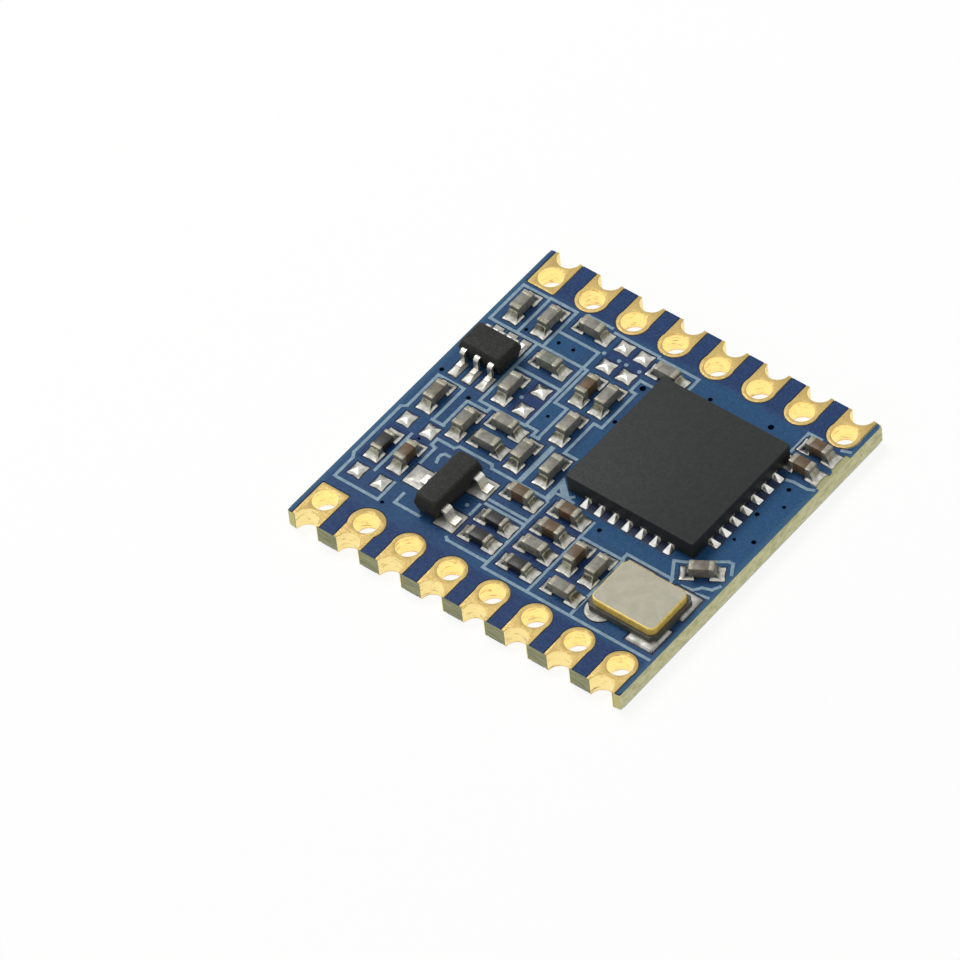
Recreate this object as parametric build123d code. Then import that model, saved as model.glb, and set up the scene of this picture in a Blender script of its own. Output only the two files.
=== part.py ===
from build123d import *
from dataclasses import dataclass
from math import floor
import os

# A radio module on a small castellated board. Lengths are in millimetres and angles in degrees.
# X runs along the two rows of contacts, Y across them and Z up. The origin is under the middle
# of the board, on the plane that the module stands on.

# Board
BOARD_LENGTH = 16.0
BOARD_WIDTH = 16.0
LAMINATE_THICKNESS = 0.8
CORNER_RADIUS = 0.25
SCORE_INSET = 0.12          # how far the V score cuts the faces back from the snapped edge
SCORE_WEB = 0.28            # thickness that was left between the two V cuts
MASK_THICKNESS = 0.025
MASK_CLEARANCE = 0.05       # bare laminate left round every metal land

# Castellated contacts
CONTACT_PITCH = 2.0
END_MARGIN = 1.0            # from a board end to the first contact
HOLE_RADIUS = 0.5
NOTCH_RADIUS = 0.5
HOLE_TO_EDGE = 1.17
PLATING = 0.03
PAD_THICKNESS = 0.035
PAD_WIDTH = 1.28
LAND_RADIUS = 0.67
WIDE_LAND_RADIUS = 0.74
SQUARE_PAD_ROUNDING = 0.08
WIDE_LAND_CONTACT = "contact_front_2"  # the one contact with a larger round land

# Chip parts: their size, and the pair of lands that each is soldered to
CHIP_LENGTH = 1.0
CHIP_WIDTH = 0.5
CHIP_END_LENGTH = 0.24
CHIP_END_STEP = 0.015       # how far the metal ends stand proud of the ceramic
CAPACITOR_HEIGHT = 0.5
INDUCTOR_HEIGHT = 0.52
RESISTOR_HEIGHT = 0.35
CHIP_LAND_LENGTH = 0.58
CHIP_LAND_WIDTH = 0.66
CHIP_LAND_PITCH = 1.12
LAND_THICKNESS = 0.05       # copper with the solder under a part
FILLET_CLIMB = 0.7          # share of a metal end that the solder climbs
FILLET_HOLLOW = 0.41        # share of its run and rise that a fillet's hollow slope passes through
BARE_SOLDER_HEIGHT = 0.14
BARE_SOLDER_CROWN = 0.45    # share of a bare land that the crown of its solder covers

# Transceiver: a moulded package with no leads
TRANSCEIVER_X = 3.12
TRANSCEIVER_Y = 1.74
TRANSCEIVER_SIDE = 6.0
TRANSCEIVER_HEIGHT = 0.8
TERMINALS_PER_SIDE = 7
TERMINAL_PITCH = 0.65
TERMINAL_WIDTH = 0.3
TERMINAL_LENGTH = 0.42
TERMINAL_THICKNESS = 0.2
PADDLE_SIDE = 4.0
TERMINAL_LAND_REACH = 0.36  # land outside the package
TERMINAL_LAND_WIDTH = 0.34

# Antenna switch: a small six-lead package
SWITCH_X = -6.34
SWITCH_Y = 2.25
SWITCH_LENGTH = 2.06
SWITCH_WIDTH = 1.4
SWITCH_HEIGHT = 0.92
SWITCH_CORNER_RADIUS = 0.1
SWITCH_LEAD_LEVEL = 0.62    # where its leads leave the moulding
SWITCH_SPAN = 2.29
SWITCH_LEAD_PITCH = 0.66
SWITCH_LEAD_WIDTH = 0.22
SWITCH_LAND_WIDTH = 0.42
SWITCH_LAND_LENGTH = 0.8
SWITCH_LAND_SPAN = 3.0
SWITCH_SLIP = 0.07          # how far it sits from the middle of its lands

# Regulator: a three-lead package, turned so that its leads lie along X
REGULATOR_X = -3.34
REGULATOR_Y = -3.95
REGULATOR_LENGTH = 2.9
REGULATOR_WIDTH = 1.22
REGULATOR_HEIGHT = 1.0
REGULATOR_CORNER_RADIUS = 0.22
REGULATOR_LEAD_LEVEL = 0.52
REGULATOR_SPAN = 2.45
REGULATOR_LEAD_PITCH = 1.92
REGULATOR_LEAD_WIDTH = 0.42
REGULATOR_LAND_WIDTH = 0.98
REGULATOR_LAND_LENGTH = 0.95
REGULATOR_LAND_SPAN = 3.2
REGULATOR_SLIP = 0.3        # how far it sits from the middle of its lands

# What both packages with leads share
LEAD_THICKNESS = 0.13
LEAD_BEND = 0.1
LEAD_EMBED = 0.15           # length of lead inside the moulding
LEAD_FOOT = 0.32
LEAD_FLAT = 0.12            # level run outside the moulding before the lead bends down
MOULD_DRAFT = 0.12          # how far a moulded side leans in from the parting line to the top
MOULD_STANDOFF = 0.06
MOULD_ROUNDING = 0.08       # along the four edges of a moulded top
TOE_SOLDER_HEIGHT = 0.14

# Crystal: ceramic base, brazed ring and lid
CRYSTAL_X = 5.87
CRYSTAL_Y = -4.17
CRYSTAL_LENGTH = 3.2
CRYSTAL_WIDTH = 2.5
CRYSTAL_BASE_HEIGHT = 0.3
CRYSTAL_BASE_NOTCH = 0.18
RING_INSET = 0.12
RING_HEIGHT = 0.22
RING_WALL = 0.25
LID_THICKNESS = 0.1
LID_CORNER_RADIUS = 0.3
LID_EDGE_ROUNDING = 0.04
CRYSTAL_LAND_LENGTH = 1.3
CRYSTAL_LAND_WIDTH = 1.32
CRYSTAL_LAND_OVERHANG_X = 0.16
CRYSTAL_LAND_OVERHANG_Y = 0.34
CRYSTAL_SOLDER_CLIMB = 0.1
CRYSTAL_SOLDER_TAPER = 40.0
FIRST_LAND_RADIUS = 0.6     # the round land that marks the crystal's first contact

# Legend: the printed outlines round the parts
LEGEND_LINE = 0.13
LEGEND_BAR = 0.22
LEGEND_DOT_RADIUS = 0.085
LEGEND_THICKNESS = 0.015
LEFT_LINE_INSET = 0.38      # from a board end to the middle of the line along it
RIGHT_LINE_INSET = 0.28
FRONT_LINE_GAP = 0.13       # from the front contacts' lands to the middle of the line before them

# Levels
LAMINATE_BOTTOM = PAD_THICKNESS
LAMINATE_TOP = LAMINATE_BOTTOM + LAMINATE_THICKNESS
MASK_TOP = LAMINATE_TOP + MASK_THICKNESS
LAND_TOP = LAMINATE_TOP + LAND_THICKNESS
HOLE_LINE = BOARD_WIDTH / 2 - HOLE_TO_EDGE  # distance of a row of holes from the board's middle
LEFT_LINE = LEFT_LINE_INSET - BOARD_LENGTH / 2
RIGHT_LINE = BOARD_LENGTH / 2 - RIGHT_LINE_INSET
FRONT_LINE = LAND_RADIUS + FRONT_LINE_GAP - HOLE_LINE
BEYOND = 1.0                # how far a cut runs past the edge that it opens

ALONG_X = 0.0
ALONG_Y = 90.0
SLANTED = 32.0


@dataclass(frozen=True)
class Chip:
    """One two-ended chip part: its place on the board, its direction and its height."""
    name: str
    x: float
    y: float
    turn: float
    height: float = CAPACITOR_HEIGHT


CHIPS = [
    Chip("chip_capacitor_01", -6.92, 4.98, ALONG_Y),
    Chip("chip_capacitor_02", -5.58, 4.98, ALONG_Y),
    Chip("chip_capacitor_03", -4.20, 3.22, ALONG_X),
    Chip("chip_capacitor_04", -2.24, 3.05, ALONG_Y),
    Chip("chip_capacitor_05", -1.30, 3.05, ALONG_Y),
    Chip("chip_capacitor_06", -6.80, -0.43, ALONG_Y),
    Chip("chip_capacitor_07", -3.64, -0.15, ALONG_X),
    Chip("chip_capacitor_08", -3.64, -1.23, ALONG_X),
    Chip("chip_capacitor_09", -2.24, -0.88, ALONG_Y),
    Chip("chip_capacitor_10", -0.17, 5.30, ALONG_X),
    Chip("chip_capacitor_11", 6.80, 5.55, ALONG_X),
    Chip("chip_capacitor_12", 6.80, 4.53, ALONG_X),
    Chip("chip_capacitor_13", -5.80, -3.44, ALONG_Y),
    Chip("chip_capacitor_14", -1.00, -2.56, ALONG_X),
    Chip("chip_capacitor_15", 1.03, -2.26, ALONG_X),
    Chip("chip_capacitor_16", 1.03, -3.28, ALONG_X),
    Chip("chip_capacitor_17", 1.03, -4.29, ALONG_X),
    Chip("chip_capacitor_18", 2.53, -3.75, ALONG_Y),
    Chip("chip_capacitor_19", 3.55, -3.75, ALONG_Y),
    Chip("chip_capacitor_20", 3.12, -5.32, ALONG_X),
    Chip("chip_capacitor_21", 6.80, -1.62, SLANTED),
    Chip("chip_inductor_01", -3.92, 5.53, ALONG_X, INDUCTOR_HEIGHT),
    Chip("chip_inductor_02", -4.70, 1.48, ALONG_Y, INDUCTOR_HEIGHT),
    Chip("chip_inductor_03", -5.02, -0.90, ALONG_Y, INDUCTOR_HEIGHT),
    Chip("chip_inductor_04", -0.86, -0.88, ALONG_Y, INDUCTOR_HEIGHT),
    Chip("chip_inductor_05", -1.65, 1.12, ALONG_Y, INDUCTOR_HEIGHT),
    Chip("chip_resistor_01", -6.91, -3.45, ALONG_Y, RESISTOR_HEIGHT),
    Chip("chip_resistor_02", -1.02, -4.07, ALONG_X, RESISTOR_HEIGHT),
    Chip("chip_resistor_03", -1.02, -5.04, ALONG_X, RESISTOR_HEIGHT),
    Chip("chip_resistor_04", 1.03, -5.31, ALONG_X, RESISTOR_HEIGHT),
]

# Pairs of lands that carry solder and no part: place and direction
BARE_PAIRS = [
    (-2.44, 5.01, ALONG_Y),
    (-1.51, 5.01, ALONG_Y),
    (-3.68, 1.48, ALONG_Y),
    (-6.45, -1.93, ALONG_X),
    (-6.37, -4.96, ALONG_X),
]

# Legend lines, each from bend to bend
LEGEND_LINES = [
    [(LEFT_LINE, 3.87), (LEFT_LINE, 5.94), (-6.32, 5.94)],
    [(-6.32, 3.87), (-6.32, 5.98), (-5.06, 5.98), (-5.06, 3.87)],
    [(LEFT_LINE, 3.87), (-2.92, 3.87)],
    [(-5.06, 4.82), (-3.12, 4.82), (-3.12, 2.45)],
    [(-4.60, 6.10), (-3.45, 6.10)],
    [(-3.20, 5.97), (-1.10, 5.97)],
    [(-5.32, 3.87), (-5.32, 0.36), (-3.13, 0.36)],
    [(-5.32, 2.50), (-3.13, 2.50), (-3.13, 0.40), (-2.60, 0.40), (-2.60, 0.12), (-2.30, 0.12)],
    [(-4.75, 0.36), (-4.75, 0.08), (-5.70, 0.08), (-5.70, -1.40)],
    [(-7.43, -1.40), (-7.43, 0.49), (-6.18, 0.49), (-6.18, -1.40)],
    [(-6.22, -1.40), (-5.66, -1.40)],
    [(-2.92, 3.87), (-2.92, 1.90), (-2.34, 1.90), (-2.34, 0.12)],
    [(-1.06, 1.90), (-0.68, 1.90), (-0.68, 3.98), (-0.94, 3.98), (-0.94, 4.60), (-0.38, 4.60)],
    [(-1.06, 1.90), (-1.06, 0.12), (-0.50, 0.12)],
    [(-1.10, 5.90), (0.85, 5.90), (0.85, 5.27)],
    [(-7.43, -1.40), (LEFT_LINE, -1.55), (LEFT_LINE, -4.35), (-7.48, -4.60), (-7.48, -5.68),
     (-5.40, -5.68), (-5.40, -4.68)],
    [(-6.40, -2.42), (-6.40, -4.60)],
    [(-5.22, -3.32), (-5.22, -2.45), (-5.44, -2.40), (-5.44, -2.05), (-4.62, -2.05), (-4.50, -1.88),
     (-2.95, -1.88), (-2.82, -2.04), (-0.20, -2.04), (-0.09, -2.15),
     (-0.09, FRONT_LINE)],
    [(-4.52, -2.48), (-4.72, -2.49), (-4.81, -2.60), (-4.82, -2.75), (-4.74, -2.98)],
    [(-4.78, -4.90), (-4.78, -5.43), (-3.62, -5.43)],
    [(-2.09, -3.70), (-2.09, -4.28)],
    [(-1.93, -3.30), (-0.09, -3.30)],
    [(-1.93, -3.53), (-0.09, -3.53)],
    [(-2.12, -5.66), (-2.00, -5.75), (-0.09, -5.75)],
    [(-0.09, FRONT_LINE), (RIGHT_LINE, FRONT_LINE)],
    [(1.98, FRONT_LINE), (1.98, -1.98)],
    [(1.98, -2.79), (3.93, -2.79), (3.93, -2.47), (6.05, -2.47)],
    [(4.00, -2.79), (4.00, FRONT_LINE)],
    [(5.87, 5.05), (5.87, 6.12), (6.46, 6.12)],
    [(7.42, 6.13), (RIGHT_LINE, 6.24)],
    [(6.60, 3.81), (6.85, 3.87), (7.50, 3.87), (RIGHT_LINE, 3.97)],
    [(6.09, -2.61), (5.93, -2.31), (5.55, -1.72), (5.93, -1.54), (6.53, -1.12), (7.26, -0.61),
     (7.45, -0.60), (RIGHT_LINE, -1.05)],
    [(6.55, -2.53), (7.00, -2.45), (7.21, -2.18), (7.57, -2.05), (RIGHT_LINE, -1.76)],
    [(7.21, -2.54), (7.69, -2.44)],
    [(0.40, -1.58), (0.57, -1.40)],
    [(0.40, -1.60), (0.73, -1.64)],
]
LEGEND_BARS = [
    [(-1.59, 0.02), (-1.59, -2.04)],
]

# The printed mark beside the transceiver's first terminal: its outline and the gap in it
FIRST_MARK = [(-0.33, -0.82), (0.45, -1.50), (0.42, -1.66), (-0.08, -1.68), (-0.08, -2.16), (-0.33, -1.95)]
FIRST_MARK_GAP = [(-0.14, -1.36), (-0.12, -1.58), (0.08, -1.56)]

# Where the mask chipped off as the board was snapped: distance from the board's right end, and Y
MASK_BREAK = [(0.34, 6.05), (0.38, 5.60), (0.34, 5.15), (0.26, 5.08), (0.25, 4.92), (0.34, 4.80), (0.32, 4.30),
              (0.28, 4.10)]

LEGEND_DOTS = [(-2.93, 4.93), (-2.22, 4.93), (-1.87, 4.93), (-1.25, 4.93), (-4.13, 1.40), (-2.47, -3.98)]

# Plated through holes that the mask leaves open: place and radius
VIAS = [
    (-4.68, 4.36, 0.1), (-4.00, 4.39, 0.1), (-6.12, 4.19, 0.1), (-7.50, 0.78, 0.12), (-5.77, 0.23, 0.12),
    (-6.03, -2.43, 0.08), (-2.72, 1.21, 0.09), (-5.18, -5.68, 0.1), (1.80, 5.36, 0.12), (-0.63, 4.35, 0.16),
    (-0.47, 2.43, 0.11), (2.36, -2.13, 0.12), (4.52, 5.56, 0.15), (6.95, 3.47, 0.12), (7.32, 2.68, 0.1),
    (6.70, 1.84, 0.12), (7.43, 0.68, 0.12), (6.75, 0.38, 0.09),
]


def box_between(low_x, high_x, low_y, high_y):
    """A flat rectangle between two X and two Y values."""
    place = Pos((low_x + high_x) / 2, (low_y + high_y) / 2)
    return place * Rectangle(high_x - low_x, high_y - low_y)


def together(place, shapes):
    """Several solids moved to one place and kept as one shape."""
    return Compound(children=[place * shape for shape in shapes])


def contact_places():
    """X of every contact in a row: as many as the board's length holds, centred on it."""
    run = BOARD_LENGTH - 2 * END_MARGIN
    count = floor(run / CONTACT_PITCH + 1e-6) + 1
    first = -(count - 1) * CONTACT_PITCH / 2
    return [first + step * CONTACT_PITCH for step in range(count)]


def pad_outline(square, radius, grow=0.0, past=0.0):
    """A contact's pad on a face: a tongue from the board's edge to a round or square end."""
    half = PAD_WIDTH / 2 + grow
    reach = radius + grow
    edge = BOARD_WIDTH / 2 + past
    if not square:
        return box_between(-half, half, HOLE_LINE, edge) + Pos(0, HOLE_LINE) * Circle(reach)
    end = HOLE_LINE - reach
    tongue = box_between(-half, half, end, edge)
    corners = tongue.vertices().group_by(Axis.Y)[0]
    return fillet(corners, SQUARE_PAD_ROUNDING)


def contact(square, radius):
    """One plated contact of the back row: two pads, the barrel of the hole and the half barrel."""
    bores = Pos(0, HOLE_LINE) * Circle(HOLE_RADIUS) + Pos(0, BOARD_WIDTH / 2) * Circle(NOTCH_RADIUS)
    pad = pad_outline(square, radius) - bores
    barrels = Pos(0, HOLE_LINE) * Circle(HOLE_RADIUS + PLATING)
    barrels += Pos(0, BOARD_WIDTH / 2) * Circle(NOTCH_RADIUS + PLATING)
    inside = box_between(-BOARD_LENGTH / 2, BOARD_LENGTH / 2, 0, BOARD_WIDTH / 2)
    barrels = (barrels - bores) & inside
    full = LAMINATE_THICKNESS + 2 * PAD_THICKNESS
    return (extrude(pad, PAD_THICKNESS)
            + Pos(0, 0, LAMINATE_TOP) * extrude(pad, PAD_THICKNESS)
            + extrude(barrels, full))


def land_radius(name):
    """How far the pads of a contact reach past the middle of its hole."""
    return WIDE_LAND_RADIUS if name == WIDE_LAND_CONTACT else LAND_RADIUS


def contacts():
    """Every contact by name, numbered along each row from the squared one."""
    made = {}
    for number, x in enumerate(contact_places(), start=1):
        back, front = f"contact_back_{number}", f"contact_front_{number}"
        made[back] = Pos(x, 0, 0) * contact(number == 1, land_radius(back))
        turned = mirror(contact(number == 1, land_radius(front)), about=Plane.XZ)
        made[front] = Pos(x, 0, 0) * turned
    return made


def laminate():
    """The glass-fibre board: milled along the contacts, V scored and snapped at its two ends."""
    half = BOARD_LENGTH / 2
    face = half - SCORE_INSET
    low = (LAMINATE_THICKNESS - SCORE_WEB) / 2
    high = low + SCORE_WEB
    section = Polyline((-face, 0), (face, 0), (half, low), (half, high), (face, LAMINATE_THICKNESS),
                       (-face, LAMINATE_THICKNESS), (-half, high), (-half, low), close=True)
    blank = extrude(Plane.XZ * make_face(section), BOARD_WIDTH / 2, both=True)
    corners = extrude(RectangleRounded(BOARD_LENGTH, BOARD_WIDTH, CORNER_RADIUS), LAMINATE_THICKNESS)
    board = blank & corners
    cuts = Sketch()
    for x in contact_places():
        for side in (1, -1):
            cuts += Pos(x, side * HOLE_LINE) * Circle(HOLE_RADIUS + PLATING)
            cuts += Pos(x, side * BOARD_WIDTH / 2) * Circle(NOTCH_RADIUS + PLATING)
    return Pos(0, 0, LAMINATE_BOTTOM) * (board - extrude(cuts, LAMINATE_THICKNESS))


def contact_openings():
    """What the mask leaves open round the contacts, running off the board's edges."""
    opened = Sketch()
    for number, x in enumerate(contact_places(), start=1):
        back = pad_outline(number == 1, land_radius(f"contact_back_{number}"), MASK_CLEARANCE, BEYOND)
        front = pad_outline(number == 1, land_radius(f"contact_front_{number}"), MASK_CLEARANCE, BEYOND)
        opened += Pos(x, 0) * back
        opened += Pos(x, 0) * mirror(front, about=Plane.XZ)
    return opened


def chip_lands(grow=0.0):
    """The two lands of a chip part that lies along X at the origin."""
    land = Rectangle(CHIP_LAND_LENGTH + 2 * grow, CHIP_LAND_WIDTH + 2 * grow)
    return [Pos(side * CHIP_LAND_PITCH / 2, 0) * land for side in (-1, 1)]


def terminal_places():
    """Offset of each transceiver terminal along its side, from the side's middle."""
    half = (TERMINALS_PER_SIDE - 1) * TERMINAL_PITCH / 2
    return [step * TERMINAL_PITCH - half for step in range(TERMINALS_PER_SIDE)]


def crystal_land_places():
    """Middle of each crystal land from the crystal's own middle, the round one first."""
    x = CRYSTAL_LENGTH / 2 + CRYSTAL_LAND_OVERHANG_X - CRYSTAL_LAND_LENGTH / 2
    y = CRYSTAL_WIDTH / 2 + CRYSTAL_LAND_OVERHANG_Y - CRYSTAL_LAND_WIDTH / 2
    return [(-x, -y), (x, -y), (x, y), (-x, y)]


def first_crystal_land(grow=0.0):
    """The round first land, as deep as the others reach."""
    x = CRYSTAL_LENGTH / 2 + CRYSTAL_LAND_OVERHANG_X - CRYSTAL_LAND_LENGTH / 2
    y = CRYSTAL_WIDTH / 2 + CRYSTAL_LAND_OVERHANG_Y - FIRST_LAND_RADIUS
    return Pos(-x, -y) * Circle(FIRST_LAND_RADIUS + grow)


def part_openings():
    """What the mask leaves open under and round the soldered parts."""
    opened = Sketch()
    for chip in CHIPS:
        turned = Pos(chip.x, chip.y) * Rot(0, 0, chip.turn)
        for land in chip_lands(MASK_CLEARANCE):
            opened += turned * land
    for x, y, turn in BARE_PAIRS:
        for land in chip_lands(MASK_CLEARANCE):
            opened += Pos(x, y) * Rot(0, 0, turn) * land
    opened += transceiver_openings()
    opened += lead_openings()
    opened += Pos(CRYSTAL_X, CRYSTAL_Y) * crystal_openings()
    return opened


def transceiver_openings():
    """One strip of bare board for each side's terminals, and a window for the paddle."""
    side = 2 * terminal_places()[-1] + TERMINAL_LAND_WIDTH + 2 * MASK_CLEARANCE
    inner = TRANSCEIVER_SIDE / 2 - TERMINAL_LENGTH - MASK_CLEARANCE
    outer = TRANSCEIVER_SIDE / 2 + TERMINAL_LAND_REACH + MASK_CLEARANCE
    strip = box_between(inner, outer, -side / 2, side / 2)
    window = PADDLE_SIDE + 2 * MASK_CLEARANCE
    opened = Rectangle(window, window)
    for quarter in range(4):
        opened += Rot(0, 0, 90 * quarter) * strip
    return Pos(TRANSCEIVER_X, TRANSCEIVER_Y) * opened


def lead_openings():
    """The openings round the lands of the two packages with leads."""
    grow = 2 * MASK_CLEARANCE
    switch_land = Rectangle(SWITCH_LAND_WIDTH + grow, SWITCH_LAND_LENGTH + grow)
    opened = Sketch()
    for x, y in switch_land_places():
        opened += Pos(SWITCH_X + x, SWITCH_Y + y) * switch_land
    regulator_land = Rectangle(REGULATOR_LAND_LENGTH + grow, REGULATOR_LAND_WIDTH + grow)
    for x, y in regulator_land_places():
        opened += Pos(REGULATOR_X + x, REGULATOR_Y + y) * regulator_land
    return opened


def crystal_openings():
    """The openings round the crystal's four lands."""
    land = Rectangle(CRYSTAL_LAND_LENGTH + 2 * MASK_CLEARANCE, CRYSTAL_LAND_WIDTH + 2 * MASK_CLEARANCE)
    opened = first_crystal_land(MASK_CLEARANCE)
    for x, y in crystal_land_places()[1:]:
        opened += Pos(x, y) * land
    return opened


def mask_sheet():
    """The outline of a solder mask: the board's face between the score lines, without the contacts."""
    face = RectangleRounded(BOARD_LENGTH - 2 * SCORE_INSET, BOARD_WIDTH, CORNER_RADIUS)
    return face - contact_openings()


def mask_break():
    """The ragged patch along the board's right end that lost its mask."""
    end = BOARD_LENGTH / 2
    inner = [(end - inset, y) for inset, y in MASK_BREAK]
    first, last = inner[0], inner[-1]
    outline = Polyline((end + BEYOND, first[1]), *inner, (end + BEYOND, last[1]), close=True)
    return make_face(outline)


def solder_mask_top():
    """The upper coat of solder mask, open round every land, over the vias and where it chipped."""
    sheet = mask_sheet() - part_openings() - mask_break()
    for x, y, radius in VIAS:
        sheet -= Pos(x, y) * Circle(radius)
    return Pos(0, 0, LAMINATE_TOP) * extrude(sheet, MASK_THICKNESS)


def solder_mask_bottom():
    """The lower coat of solder mask, just clear of the plane that the pads stand on."""
    return Pos(0, 0, LAMINATE_BOTTOM - MASK_THICKNESS) * extrude(mask_sheet(), MASK_THICKNESS)


def legend_stroke(points, width):
    """One printed line along its bends, with square ends."""
    drawn = Sketch()
    for start, end in zip(points, points[1:]):
        run = Vector(*end) - Vector(*start)
        middle = (Vector(*end) + Vector(*start)) / 2
        turn = Vector(1, 0).get_signed_angle(run, Vector(0, 0, 1))
        drawn += Pos(middle.X, middle.Y) * Rot(0, 0, turn) * Rectangle(run.length + width, width)
    return drawn


def legend():
    """The printed outlines, kept off the mask's openings."""
    drawn = Sketch()
    for points in LEGEND_LINES:
        drawn += legend_stroke(points, LEGEND_LINE)
    for points in LEGEND_BARS:
        drawn += legend_stroke(points, LEGEND_BAR)
    for x, y in LEGEND_DOTS:
        drawn += Pos(x, y) * Circle(LEGEND_DOT_RADIUS)
    drawn += make_face(Polyline(*FIRST_MARK, close=True)) - make_face(Polyline(*FIRST_MARK_GAP, close=True))
    drawn -= contact_openings()
    drawn -= part_openings()
    drawn -= mask_break()
    for x, y, radius in VIAS:
        drawn -= Pos(x, y) * Circle(radius)
    drawn &= mask_sheet()
    return Pos(0, 0, MASK_TOP) * extrude(drawn, LEGEND_THICKNESS)


def chip_body(height):
    """A chip part along X at the origin: a ceramic block between two metal ends."""
    step = 2 * CHIP_END_STEP
    block = Box(CHIP_LENGTH - step, CHIP_WIDTH - step, height - step)
    end = Box(CHIP_END_LENGTH, CHIP_WIDTH, height)
    for side in (-1, 1):
        block += Pos(side * (CHIP_LENGTH - CHIP_END_LENGTH) / 2, 0, 0) * end
    return Pos(0, 0, height / 2) * block


def chips():
    """Every chip part by name, seated on its tinned lands."""
    made = {}
    for chip in CHIPS:
        place = Pos(chip.x, chip.y, LAND_TOP) * Rot(0, 0, chip.turn)
        made[chip.name] = place * chip_body(chip.height)
    return made


def transceiver_terminals():
    """The package's metal: the terminals along its four sides and the paddle under its middle."""
    metal = [extrude(Rectangle(PADDLE_SIDE, PADDLE_SIDE), TERMINAL_THICKNESS)]
    centre = (TRANSCEIVER_SIDE - TERMINAL_LENGTH) / 2
    for quarter in range(4):
        for offset in terminal_places():
            terminal = extrude(Rectangle(TERMINAL_LENGTH, TERMINAL_WIDTH), TERMINAL_THICKNESS)
            metal.append(Rot(0, 0, 90 * quarter) * Pos(centre, offset, 0) * terminal)
    return metal


def transceiver():
    """The transceiver's moulded body and, apart from it, its metal."""
    metal = transceiver_terminals()
    block = extrude(Rectangle(TRANSCEIVER_SIDE, TRANSCEIVER_SIDE), TRANSCEIVER_HEIGHT)
    place = Pos(TRANSCEIVER_X, TRANSCEIVER_Y, LAND_TOP)
    return place * (block - metal), together(place, metal)


def moulded_body(length, width, height, parting, corner):
    """A moulded block whose four sides lean in above and below the parting line."""
    full = RectangleRounded(length, width, corner)
    small = RectangleRounded(length - 2 * MOULD_DRAFT, width - 2 * MOULD_DRAFT, corner)
    lower = loft([Pos(0, 0, MOULD_STANDOFF) * small, Pos(0, 0, parting) * full])
    upper = loft([Pos(0, 0, parting) * full, Pos(0, 0, height) * small])
    upper = fillet(upper.faces().sort_by(Axis.Z)[-1].edges(), MOULD_ROUNDING)
    return lower + upper


def gull_lead(body_width, level, span, lead_width):
    """One lead towards +Y: out of the moulding, down, and flat on its land."""
    foot = LEAD_THICKNESS / 2
    start = body_width / 2 - LEAD_EMBED
    shoulder = body_width / 2 + LEAD_FLAT
    tip = span / 2
    path = FilletPolyline((0, start, level), (0, shoulder, level), (0, tip - LEAD_FOOT, foot), (0, tip, foot),
                          radius=LEAD_BEND)
    section = Plane(origin=path @ 0, x_dir=(1, 0, 0), z_dir=path % 0) * Rectangle(lead_width, LEAD_THICKNESS)
    return sweep(section, path=path)


def switch_land_places():
    """Middle of each switch land from the package's middle."""
    y = (SWITCH_LAND_SPAN - SWITCH_LAND_LENGTH) / 2
    return [(step * SWITCH_LEAD_PITCH, side * y) for side in (-1, 1) for step in (-1, 0, 1)]


def regulator_land_places():
    """Middle of each regulator land from the package's middle: one on the left, two on the right."""
    x = (REGULATOR_LAND_SPAN - REGULATOR_LAND_LENGTH) / 2
    half = REGULATOR_LEAD_PITCH / 2
    return [(-x - REGULATOR_SLIP, 0), (x - REGULATOR_SLIP, -half), (x - REGULATOR_SLIP, half)]


def antenna_switch():
    """The switch's moulded body and its six leads."""
    lead = gull_lead(SWITCH_WIDTH, SWITCH_LEAD_LEVEL, SWITCH_SPAN, SWITCH_LEAD_WIDTH)
    leads = []
    for turn in (0, 180):
        for step in (-1, 0, 1):
            leads.append(Rot(0, 0, turn) * Pos(step * SWITCH_LEAD_PITCH, 0, 0) * lead)
    body = moulded_body(SWITCH_LENGTH, SWITCH_WIDTH, SWITCH_HEIGHT, SWITCH_LEAD_LEVEL, SWITCH_CORNER_RADIUS)
    body -= leads
    place = Pos(SWITCH_X, SWITCH_Y + SWITCH_SLIP, LAND_TOP)
    return place * body, together(place, leads)


def regulator():
    """The regulator's moulded body and its three leads."""
    lead = gull_lead(REGULATOR_WIDTH, REGULATOR_LEAD_LEVEL, REGULATOR_SPAN, REGULATOR_LEAD_WIDTH)
    half = REGULATOR_LEAD_PITCH / 2
    leads = [lead, Rot(0, 0, 180) * Pos(half, 0, 0) * lead, Rot(0, 0, 180) * Pos(-half, 0, 0) * lead]
    body = moulded_body(REGULATOR_LENGTH, REGULATOR_WIDTH, REGULATOR_HEIGHT, REGULATOR_LEAD_LEVEL,
                        REGULATOR_CORNER_RADIUS)
    body -= leads
    place = Pos(REGULATOR_X, REGULATOR_Y, LAND_TOP) * Rot(0, 0, 90)
    return place * body, together(place, leads)


def ring_outline():
    """The brazed ring's outer outline, which the lid shares."""
    return RectangleRounded(CRYSTAL_LENGTH - 2 * RING_INSET, CRYSTAL_WIDTH - 2 * RING_INSET, LID_CORNER_RADIUS)


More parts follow.
